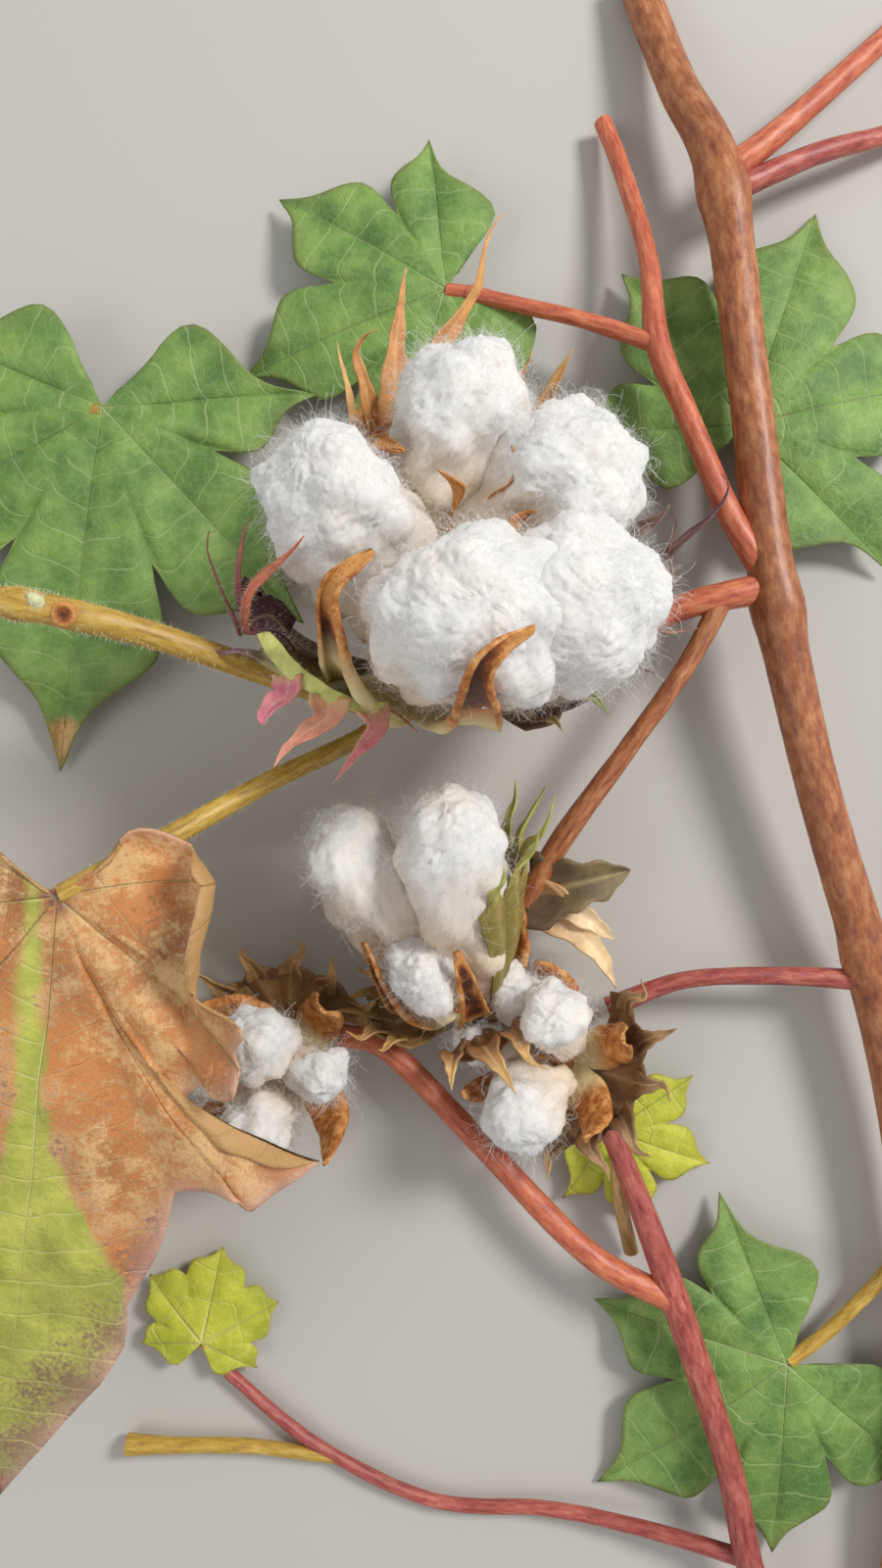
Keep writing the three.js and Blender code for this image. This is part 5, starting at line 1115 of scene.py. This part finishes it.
def makeFibres():
    # a few curled fibres of unit length, thin to a point, that every lock draws from
    collection = bpy.data.collections.new("lintFibres")
    for kind in range(fibreShape["kinds"]):
        t = np.linspace(0, 1, fibreShape["rings"] + 1)
        turns = rng.uniform(2.4, 5, 2)
        phase = rng.uniform(0, 2 * math.pi, 2)
        curl = fibreShape["curl"] * rng.uniform(0.5, 1.4)
        wave = np.stack([np.sin(t * turns[0] + phase[0]) - math.sin(phase[0]),
                         np.sin(t * turns[1] + phase[1]) - math.sin(phase[1]), np.zeros_like(t)], -1)
        line = wave * curl + np.outer(t, [0, 0, 1]) + np.outer(t ** 2, [rng.uniform(-0.3, 0.3), 0, 0])
        angles = np.linspace(0, 2 * math.pi, fibreShape["sides"] + 1)[:-1]
        ring = np.stack([np.cos(angles), np.sin(angles), 0 * angles], -1)
        radius = fibreShape["slimness"] * (1 - 0.5 * t[:-1])
        points = (line[:-1, None, :] + ring[None] * radius[:, None, None]).reshape(-1, 3)
        points = np.concatenate([points, line[-1:]])
        sides, rings = fibreShape["sides"], fibreShape["rings"]
        faces = gridFaces(rings, sides, closed=True)[:, ::-1].tolist()
        last = (rings - 1) * sides
        faces += [[last + j, last + (j + 1) % sides, len(points) - 1] for j in range(sides)]
        faces.append([2, 1, 0])
        mesh = bpy.data.meshes.new(f"fibre_{kind}")
        mesh.from_pydata(points.tolist(), [], faces)
        collection.objects.link(bpy.data.objects.new(f"fibre_{kind}", mesh))
    return collection


def lintTree():
    tree, given, add = newTree("lintLock", {
        "Geometry": "NodeSocketGeometry", "Husk": "NodeSocketObject", "Fibres": "NodeSocketCollection",
        "Detail Level": 2, "Tuft Height": 0.0045, "Tuft Scale": 125.0, "Curl Height": 0.003,
        "Curl Scale": 420.0, "Husk Room": 0.0016, "Fibre Density": 1000000.0, "Fibre Short": 0.0015,
        "Fibre Long": 0.0041, "Lift": 0.75, "Seed": 1, "Matted": "NodeSocketMaterial",
        "Loose": "NodeSocketMaterial"})
    fine = add("GeometryNodeSubdivisionSurface", links={
        "Mesh": given["Geometry"], "Level": given["Detail Level"]})
    where = add("GeometryNodeInputPosition")
    huskInfo = add("GeometryNodeObjectInfo", links={"Object": given["Husk"]})
    nearHusk = add("GeometryNodeProximity", {"target_element": "FACES"}, {
        "Geometry": huskInfo.outputs["Geometry"]})
    pressed = add("ShaderNodeMapRange", links=[
        nearHusk.outputs["Distance"], 0.0, fibreHabit["pressed"], 1.0, 0.0])
    # tufts bulge between creases, curls roughen them, and the lint gives way to the husk
    tufts = add("ShaderNodeTexVoronoi", {"voronoi_dimensions": "4D", "feature": "SMOOTH_F1"}, {
        "Vector": where, "W": given["Seed"], "Scale": given["Tuft Scale"], "Smoothness": 0.4})
    curls = add("ShaderNodeTexNoise", {"noise_dimensions": "4D"}, {
        "Vector": where, "W": given["Seed"], "Scale": given["Curl Scale"], "Detail": 2.0, "Distortion": 1.6})
    bulge = add("ShaderNodeMath", "SUBTRACT", [0.35, tufts])
    bulge = add("ShaderNodeMath", "MULTIPLY", [bulge, given["Tuft Height"]])
    rough = add("ShaderNodeMath", "SUBTRACT", [curls, 0.5])
    rough = add("ShaderNodeMath", "MULTIPLY", [rough, given["Curl Height"]])
    room = add("ShaderNodeMath", "MULTIPLY", [pressed, given["Husk Room"]])
    height = add("ShaderNodeMath", "SUBTRACT", [add("ShaderNodeMath", "ADD", [bulge, rough]), room])
    offset = add("ShaderNodeVectorMath", "SCALE", {"Vector": add("GeometryNodeInputNormal"), "Scale": height})
    core = add("GeometryNodeSetPosition", links={"Geometry": fine, "Offset": offset})
    shown = add("GeometryNodeInputNamedAttribute", links={"Name": "shown"})
    density = add("ShaderNodeMath", "MULTIPLY", [shown, given["Fibre Density"]])
    spots = add("GeometryNodeDistributePointsOnFaces", links={
        "Mesh": core, "Density": density, "Seed": given["Seed"]})
    # fibres lie over the core in swirls, and few of them stand up
    swirl = add("ShaderNodeTexNoise", {"noise_dimensions": "4D"}, {
        "Vector": where, "W": given["Seed"], "Scale": fibreHabit["swirl"], "Detail": 1.0, "Distortion": 1.5})
    flow = add("ShaderNodeVectorMath", "SUBTRACT", [swirl.outputs["Color"], (0.5, 0.5, 0.5)])
    stray = add("FunctionNodeRandomValue", {"data_type": "FLOAT_VECTOR"}, {
        "Min": (-fibreHabit["stray"],) * 3, "Max": (fibreHabit["stray"],) * 3, "Seed": given["Seed"]})
    mixed = add("ShaderNodeVectorMath", "ADD", [flow, stray])
    out = spots.outputs["Normal"]
    upward = add("ShaderNodeVectorMath", "SCALE", {
        "Vector": out, "Scale": add("ShaderNodeVectorMath", "DOT_PRODUCT", [mixed, out])})
    level = add("ShaderNodeVectorMath", "SUBTRACT", [mixed, upward])
    level = add("ShaderNodeVectorMath", "NORMALIZE", [level])
    chance = add("FunctionNodeRandomValue", {"data_type": "FLOAT"}, {"Min": 0.0, "Max": 1.0, "Seed": 5})
    lift = add("ShaderNodeMath", "POWER", [chance, fibreHabit["lying"]])
    lift = add("ShaderNodeMath", "MULTIPLY", [lift, given["Lift"]])
    raised = add("ShaderNodeVectorMath", "SCALE", {"Vector": out, "Scale": lift})
    heading = add("ShaderNodeVectorMath", "ADD", [level, raised])
    turned = add("FunctionNodeAlignRotationToVector", {"axis": "Z"}, {"Vector": heading})
    luck = add("FunctionNodeRandomValue", {"data_type": "FLOAT"}, {"Min": 0.0, "Max": 1.0, "Seed": 9})
    luck = add("ShaderNodeMath", "POWER", [luck, fibreHabit["short"]])
    length = add("ShaderNodeMapRange", links=[luck, 0.0, 1.0, given["Fibre Short"], given["Fibre Long"]])
    which = add("FunctionNodeRandomValue", {"data_type": "INT"}, {
        "Min": 0, "Max": fibreShape["kinds"] - 1, "Seed": 13})
    kinds = add("GeometryNodeCollectionInfo", links={
        "Collection": given["Fibres"], "Separate Children": True, "Reset Children": True})
    kept = add("FunctionNodeCompare", {"data_type": "FLOAT", "operation": "GREATER_THAN"}, {
        "A": nearHusk.outputs["Distance"], "B": fibreHabit["clear"]})
    fibres = add("GeometryNodeInstanceOnPoints", links={
        "Points": spots, "Selection": kept, "Instance": kinds, "Pick Instance": True,
        "Instance Index": which, "Rotation": turned, "Scale": length})
    real = add("GeometryNodeRealizeInstances", links={"Geometry": fibres})
    dressed = [add("GeometryNodeSetMaterial", links={"Geometry": part, "Material": given[key]})
               for part, key in ((real, "Loose"), (core, "Matted"))]
    joined = add("GeometryNodeJoinGeometry", links={"Geometry": dressed})
    whole = add("GeometryNodeRealizeInstances", links={"Geometry": joined})
    add("NodeGroupOutput", links={"Geometry": add("GeometryNodeSetShadeSmooth", links={
        "Geometry": whole})})
    return tree


lockShape = {"rounds": 30, "rings": 22, "lumps": 0.07}


def lockCore(boll, spec):
    turn, out, up, radius, cap, wide = spec
    axes = BollFrame(boll)
    foot, heart = axes.at(turn, *boll["lockFoot"]), axes.at(turn, out, up)
    along = heart - foot
    reach = np.linalg.norm(along)
    along /= reach
    side = np.cross(axes.axis, along)
    side /= np.linalg.norm(side)
    other = np.cross(along, side)
    rounds, rings = lockShape["rounds"], lockShape["rings"]
    swing = np.linspace(0, math.pi, rings + 1)[:, None]
    t = -np.cos(swing)
    length = np.where(t < 0, (1 + t) * reach, reach + t * cap)
    full = np.where(t < 0, np.sin(swing) ** boll["taper"], np.sin(swing))
    angle = np.linspace(0, 2 * math.pi, rounds + 1)[:-1][None, :]
    lump = 1 + lockShape["lumps"] * np.sin(3 * angle + turn) * np.sin(2.3 * swing + turn)
    wideRadius = radius * lump * full
    points = (foot + along * length[..., None] + side * (wideRadius * np.cos(angle) * wide)[..., None]
              + other * (wideRadius * np.sin(angle))[..., None]).reshape(-1, 3)
    faces = gridFaces(rings + 1, rounds, closed=True)[:, ::-1]
    shown = (np.clip(t + 0.75, 0, 0.5) * 2 + 0 * angle).ravel()  # none deep inside the boll
    # a warm cream painted shade towards the lock's foot, deep between the locks
    creamy = (np.clip(0.2 - t, 0, 1) ** 1.2 + 0 * angle).ravel()
    return weld(points, faces, {"shown": shown, "creamy": creamy})


fibreCollection = makeFibres()
lockTree = lintTree()
lintDetail = {
    "boll_1": {"Detail Level": 2, "Tuft Height": 0.005, "Curl Height": 0.002, "fibres": 5500},
    "boll_2": {"Detail Level": 1, "Tuft Height": 0.004, "Curl Height": 0.0026, "fibres": 2100},
    "boll_3": {"Detail Level": 1, "Tuft Height": 0.003, "Curl Height": 0.002, "fibres": 1000,
               "Tuft Scale": 190.0, "Fibre Short": 0.0016, "Fibre Long": 0.0044},
}
lintDetail["boll_4"] = lintDetail["boll_3"]

for index, (name, boll) in enumerate(bolls.items()):
    for k, spec in enumerate(boll["locks"]):
        points, faces, values = lockCore(boll, spec)
        a, b, c = points[faces[:, 0]], points[faces[:, 1]], points[faces[:, 2]]
        areas = np.linalg.norm(np.cross(b - a, c - a), axis=1) / 2
        area = np.sum(areas * values["shown"][faces].mean(axis=1))
        settings = dict(lintDetail[name], Seed=index * 10 + k, Husk=burrObjects[name],
                        Fibres=fibreCollection, Matted=lintMattedShaded, Loose=lintLoose)
        wanted = settings.pop("fibres") * 1
        settings["Fibre Density"] = wanted / (area * 1e-6)
        lock = makeObject(f"{name}_lint_{k + 1}", [(points, faces, values)], lintMattedShaded)
        applyTree(lock, lockTree, settings)
        place(lock, "lint", f"{name}_lock_{k + 1}")
        print("lint", name, k + 1, len(lock.data.polygons))
for fibre in list(fibreCollection.objects):
    bpy.data.objects.remove(fibre)
bpy.data.collections.remove(fibreCollection)
print("stage: lint grown")


# Leaves: each blade is laid flat round its petiole's end, half a lobe at a time, then bent

# A blade's heel lies this share of the fan beyond its outer lobes, at this share of their length, and is
# rounder; the margin passes two places, as shares of the way from tip to notch and of its bulge
palmShape = {"heelTurn": 0.8, "heel": 0.16, "heelRound": 1.6, "margin": ((0.3, 0.12), (0.66, 0.9))}


def palmate(lengths, notch=0.56, fan=52, shoulder=0.22):
    turns = [(i - (len(lengths) - 1) / 2) * fan for i in range(len(lengths))]

    def spot(turn, reach):
        return np.array([reach * math.cos(math.radians(turn)), reach * math.sin(math.radians(turn))])

    notches = [spot((turns[i] + turns[i + 1]) / 2, notch * min(lengths[i], lengths[i + 1]))
               for i in range(len(lengths) - 1)]
    heelTurn, heelShare = fan * palmShape["heelTurn"], palmShape["heel"]
    notches = [spot(turns[0] - heelTurn, heelShare * lengths[0]), *notches,
               spot(turns[-1] + heelTurn, heelShare * lengths[-1])]
    lobes = []
    for i, reach in enumerate(lengths):
        tip = spot(turns[i], reach)
        sides = []
        for end, hand, heel in ((notches[i], -1, i == 0), (notches[i + 1], 1, i == len(lengths) - 1)):
            chord = end - tip
            out = np.array([chord[1], -chord[0]]) * shoulder * hand * (palmShape["heelRound"] if heel else 1)
            sides.append([tip + chord * along + out * bulge for along, bulge in palmShape["margin"]])
        lobes.append({"tip": tip, "mid": tip / 2, "before": sides[0], "after": sides[1]})
    return {"lobes": lobes, "notches": notches}


def rising(value, start, width):
    # 0 up to the start and 1 a width past it
    return np.clip((value - start) / width, 0, 1)


def droop(depth, reach):
    return lambda x, y: -depth * (x * x + y * y) / (reach * reach)


def dryRelief(x, y):
    # the blade hangs off its veins, and its ragged right end folds up
    end = 0.75 * np.maximum(0, x - 22) * rising(-y, 15, 4) * rising(y, -36, 4)
    far = 0.004 * np.maximum(0, x - 20) ** 2 * rising(-y, 36, 4)
    fold = -2.2 * np.exp(-((x - 8 + 0.25 * (y + 30)) / 6) ** 2) * rising(-y, 12, 14) * rising(y, -78, 20)
    return -0.0019 * y * y - np.where(x < 0, 0.004, 0.0006) * x * x + end + far + fold


dryRim = {"wide": 8, "radius": 5, "turn": 2.35}  # mm, and radians


def dryRoll(x, y):
    # the right rim rolls up over the blade: a short flat run, then an arc
    edge = np.interp(y, [-20, -13.5, -9.5, -2, 2.5, 8], [25.5, 24.5, 25, 27, 27.5, 24.5])
    amount = rising(y, -19, 6) * rising(-y, -10, 5)
    wide, radius, turn = dryRim["wide"], dryRim["radius"], dryRim["turn"]
    u = np.clip((x - edge + wide) / wide, 0, 1.1)
    arc = np.clip((u - 0.25) / 0.75, 0, 1.2) * turn
    flat = edge - wide + np.clip(u / 0.25, 0, 1) * 3
    rolled = np.where(x < edge - wide, x, flat + radius * np.sin(arc))
    return x + (rolled - x) * amount, radius * (1 - np.cos(arc)) * amount


leaves = {
    "dry_leaf": {"style": "dry", "junction": [-64.8, -19, 54], "heading": 0,
        "outline": {
            "lobes": [
                {"tip": [-33, 13], "mid": [-15, 9], "before": [[-27, 19], [-15, 13], [-9, 7]],
                 "after": [[-37, 9]]},
                {"tip": [-56, -8], "mid": [-28, -3], "before": [[-49, 1]], "after": [[-55, -16], [-44, -22]]},
                {"tip": [-60, -63], "mid": [-27, -33], "before": [[-55, -48], [-44, -37]],
                 "after": [[-53, -66], [-43, -60]]},
                {"tip": [-20.5, -118.5], "mid": [-4, -52], "before": [[-27, -105], [-38, -80], [-36, -66]],
                 "after": [[-9.5, -104.5], [3, -89.5], [9, -79.5], [9.5, -73], [15.5, -62.5]]},
                {"tip": [44, -45.5], "mid": [12, -38],
                 "before": [[39, -49.5], [32, -54], [31, -52], [20, -51.5]],
                 "after": [[37, -46.5], [30, -44.5], [25, -41.5], [22, -39]]},
                {"tip": [32, -28], "mid": [15, -12], "before": [[30.5, -33], [27, -33.5], [25, -31.5]],
                 "after": [[31, -25], [33, -21], [28, -18.5]]},
                {"tip": [27.5, 2.5], "mid": [13, 3], "before": [[27, -2], [25, -9.5]],
                 "after": [[24.5, 7.5], [17, 11.5], [12, 10.5], [9.5, 6]]}],
            "notches": [[-3.5, 1.5], [-35, 3], [-38, -29], [-31, -53], [18, -53.5], [20, -35.5],
                        [24.5, -13.5], [-1.5, 1]]},
        "relief": dryRelief, "roll": dryRoll, "puff": 1.3, "crumple": 1.7, "curl": 2.6,
        "petiole": [[-10.5, 15.3, 11, 2.1], [-15.2, 9.7, 20, 1.9], [-31.3, 0.5, 38, 1.9],
                    [-46, -8.5, 47.6, 2], [-58.2, -15.5, 52, 2.1], [-64.5, -18.8, 53.2, 1.8]],
        "bark": "olive"},
    "left_leaf": {"style": "green", "junction": [-69.9, 77.8, 11], "heading": -99,
        "outline": palmate([42, 58, 76, 60, 44]), "relief": droop(9, 74), "scorch": 57,
        "puff": 1.5, "crumple": 0.6, "curl": 1,
        "petiole": [[-96, 33.3, 57.3, 1.8], [-110, 44, 42, 1.6], [-112, 60, 16, 1.6], [-98, 71, 6.4, 1.7],
                    [-82, 75.4, 6.5, 1.7], [-70.5, 77.6, 10.2, 1.7]], "bark": "olive"},
    "right_leaf": {"style": "green", "junction": [63.2, 74.8, 8.5], "heading": 70,
        "outline": palmate([44, 46, 51, 42, 36], fan=56), "relief": droop(7.4, 50),
        "puff": 1.2, "crumple": 0.5, "curl": 0.8,
        "petiole": [[66.6, 42, 17, 1.8], [65, 52, 10.5, 1.7], [63.6, 64, 7.4, 1.7], [63.2, 74.2, 7.8, 1.7]],
        "bark": "coral"},
    "back_leaf": {"style": "green", "junction": [1, 102.6, 10], "heading": 200,
        "outline": palmate([34, 42, 46, 42, 34]), "relief": droop(8.5, 46),
        "puff": 1.2, "crumple": 0.5, "curl": 0.8,
        "petiole": [[6, 101.8, 9.9, 1.5], [3.5, 102.3, 9.7, 1.5], [1.2, 102.6, 9.4, 1.5]], "bark": "coral"},
    "lower_leaf": {"style": "green", "junction": [73, -122.5, 6], "heading": 215,
        "outline": palmate([38, 42, 48, 42, 38]), "relief": droop(4.6, 48),
        "puff": 1.1, "crumple": 0.5, "curl": 0.8,
        "petiole": [[97.6, -95, 10.5, 1.7], [91, -106, 6.5, 1.5], [82, -116, 4.9, 1.5],
                    [73.5, -122.2, 5.3, 1.5]], "bark": "olive"},
    "yellow_leaf": {"style": "yellow", "junction": [36, -73.5, 4.6], "heading": -20,
        "outline": palmate([18, 21, 23, 21, 18]), "relief": droop(2.8, 25),
        "puff": 0.6, "crumple": 0.3, "curl": 0.5,
        "petiole": [[37.5, -78.5, 10.6, 1.2], [38.6, -77, 6.6, 1.1], [36.4, -74, 4.2, 1.1]], "bark": "olive"},
    "small_leaf": {"style": "yellow", "junction": [-50.9, -118.8, 4.4], "heading": 78,
        "outline": palmate([13, 18, 20, 18, 13], notch=0.8), "relief": droop(2.6, 21),
        "puff": 0.5, "crumple": 0.3, "curl": 0.5,
        "petiole": [[-45.2, -126.4, 2.4, 1.1], [-48.4, -122.6, 2.6, 1.1], [-50.8, -119, 3.9, 1]],
        "bark": "olive"},
}
# Creases are sizes in mm and their shares of the leaf's crumple; a blade lies flat this near its petiole, and
# no lower than its clearance over the floor
leafGrid = {"rings": 40, "columns": 18, "thickness": 0.4, "creases": ((14, 1), (5, 0.35)), "waves": 8,
            "flat": 12, "clearance": 0.3}


def leafShell(leaf, seed):
    lobes, notches = leaf["outline"]["lobes"], leaf["outline"]["notches"]
    share = min(1, max(np.hypot(*lobe["tip"]) for lobe in lobes) / 75)
    rings, columns = (round(leafGrid[key] * share ** 0.5) for key in ("rings", "columns"))
    t = np.linspace(0, 1, rings + 1)[:, None]
    v = np.linspace(0, 1, columns + 1)[None, :]
    sheets, faceLists, start = [], [], 0
    for n, lobe in enumerate(lobes):
        tip, mid = np.array(lobe["tip"], float), np.array(lobe["mid"], float)
        for half, via in ((0, lobe["before"]), (1, lobe["after"])):
            notch = np.array(notches[n + half], float)
            edge = smoothLine([tip, *via, notch], columns + 1, even=True)[None]
            bent = (2 * t * (1 - t))[..., None] * mid + (t ** 2)[..., None] * tip
            chord = tip * (1 - v)[..., None] + notch * v[..., None]
            flat = bent * (1 - v)[..., None] + notch * (t * v)[..., None]
            flat = flat + (t ** 2)[..., None] * (edge - chord)
            size = np.linalg.norm(tip)
            off = np.linalg.norm(flat - bent, axis=2)
            sheets.append(np.stack([  # in the order of the names below
                flat[..., 0], flat[..., 1], t * size + 0 * v, off, size + 0 * off, t ** 26 + 0 * v,
                np.clip(v * t * 1.2, 0, 1), t ** 7 * np.sin(np.pi * v)], -1).reshape(-1, 8))
            faces = gridFaces(rings + 1, columns + 1, start=start)
            faceLists.append(faces if half else faces[:, ::-1])
            start += (rings + 1) * (columns + 1)
    faces = np.concatenate(faceLists)
    x, y, run, off, size, margin, pillow, wave = np.concatenate(sheets).T
    angle = math.radians(leaf["heading"])
    flatX, flatY = x * math.cos(angle) - y * math.sin(angle), x * math.sin(angle) + y * math.cos(angle)
    spots = np.stack([flatX, flatY, 0 * flatX], -1)
    rough = sum(lumps(spots, crease, seed + k) * leaf["crumple"] * part
                for k, (crease, part) in enumerate(leafGrid["creases"]))
    fade = np.clip(np.hypot(flatX, flatY) / leafGrid["flat"], 0, 1)
    puff = leaf["puff"] * np.sin(pillow * math.pi) * fade
    # the margin waves up and down
    curl = leaf["curl"] * wave * (0.45 + lumps(spots, leafGrid["waves"], seed + 2) * 1.6)
    z = leaf["relief"](flatX, flatY) + puff + rough * fade + curl
    rolledX, lift = leaf["roll"](flatX, flatY) if "roll" in leaf else (flatX, 0)
    points = np.stack([rolledX, flatY, z + lift], -1) + leaf["junction"]
    points[:, 2] = np.maximum(points[:, 2], leafGrid["clearance"])
    points, faces, values = weld(points, faces, {
        "run": run, "off": off, "size": size, "margin": margin * 0.7,
        "parched": parchedPart(leaf, flatX, flatY, margin),
        "dusky": duskyPart(leaf, flatX, flatY, run / size)})
    return thicken(points, faces, leafGrid["thickness"], values)


def greenEdge(x, y):
    # how far a place is outside the dry leaf's green band, which widens down the blade along its middle vein
    vein = -4 + 0.035 * y + 0.0006 * np.minimum(0, y + 60) * -y * 0.35
    half = np.interp(-y, [0, 8, 34, 50, 66, 84, 100, 120], [0.6, 1.6, 2.2, 6, 14, 20, 17, 4])
    return np.abs(x - vein) - half


def parchedPart(leaf, x, y, margin):
    # the dry leaf is brown beyond its green band, the others only where they are scorched
    if leaf["style"] != "dry":
        return np.maximum(margin * 0.5 - 0.25, (np.hypot(x, y) - leaf.get("scorch", 900)) * 0.06)
    return np.clip(0.5 + greenEdge(x, y) * 0.14 + np.clip((margin - 0.75) * 1.2, 0, 0.4), -0.4, 1.4)


def duskyPart(leaf, x, y, share):
    # the dry leaf's lower margin, its tip, its junction and the border of its green band are purple-brown
    if leaf["style"] != "dry":
        return 0 * x
    lower = rising(-y, 42, 22)
    rim = np.clip((share - 0.7) * 3.4, 0, 1) * lower * 0.95
    tip = rising(-y, 98, 14) * 0.8
    junction = np.clip(1.3 - np.hypot(x, y) / 4, 0, 1)
    border = 0.4 * np.exp(-((greenEdge(x, y) - 1.5) / 3.5) ** 2) * rising(-y, 8, 10)
    return np.maximum.reduce([rim, tip, junction, border])


for index, (name, leaf) in enumerate(leaves.items()):
    blade = makeObject(f"{name}_blade", [leafShell(leaf, index)], leafBlades[leaf["style"]])
    place(blade, {"dry": "leaf_dry", "green": "leaf_green", "yellow": "leaf_yellow"}[leaf["style"]], name)
    stalk = growLimb(f"{name}_petiole", leaf["petiole"], leaf["bark"], limbShape["petioleSides"],
                     seed=index + 40)
    if name == "dry_leaf":
        applyTree(stalk, hairTree, {"Hair": plantHair, "Hair Density": 1.2e6})
    place(stalk, "twig")
print("stage: leaves made")


# Floor, light and camera

studio = {
    "floor": "#C2BEB6", "sky": "#F2F4F8", "skyStrength": 0.52, "aim": (0, 0, 0.03),
    "key": {"position": (0.62, 0.42, 0.7), "size": 0.28, "power": 7.6},
    "fill": {"position": (-0.7, -0.2, 0.7), "size": 0.6, "power": 1.7},
}

floorMaterial, add = newMaterial("painted_board")  # matt painted board, even and unmarked
add("ShaderNodeOutputMaterial", links=[add("ShaderNodeBsdfPrincipled", links={
    "Base Color": linear(studio["floor"]), "Roughness": 0.85})])
floorMesh = bpy.data.meshes.new("floor")
floorMesh.from_pydata([(-3, -3, 0), (3, -3, 0), (3, 3, 0), (-3, 3, 0)], [], [(0, 1, 2, 3)])
floorMesh.materials.append(floorMaterial)
floor = bpy.data.objects.new("floor", floorMesh)
bpy.context.scene.collection.objects.link(floor)

for name in ("key", "fill"):
    spec = studio[name]
    light = bpy.data.lights.new(name, "AREA")
    light.shape = "DISK"
    light.size = spec["size"]
    light.energy = spec["power"]
    obj = bpy.data.objects.new(name, light)
    obj.location = spec["position"]
    aim = Vector(studio["aim"]) - Vector(spec["position"])
    obj.rotation_euler = aim.to_track_quat("-Z", "Y").to_euler()
    bpy.context.scene.collection.objects.link(obj)
world = bpy.data.worlds.new("studio")
world.use_nodes = True
sky = world.node_tree.nodes["Background"]
sky.inputs["Color"].default_value = linear(studio["sky"])
sky.inputs["Strength"].default_value = studio["skyStrength"]
bpy.context.scene.world = world

camera = bpy.data.objects.new("camera", bpy.data.cameras.new("camera"))
camera.data.lens = view["lens"]
camera.data.sensor_width = view["film"]
camera.data.clip_start = 0.01
camera.location = (frameShift[0] * mm, frameShift[1] * mm, view["height"] * mm)
bpy.context.scene.collection.objects.link(camera)
bpy.context.scene.camera = camera
bpy.context.scene.view_settings.view_transform = "Standard"
print("stage: studio ready")
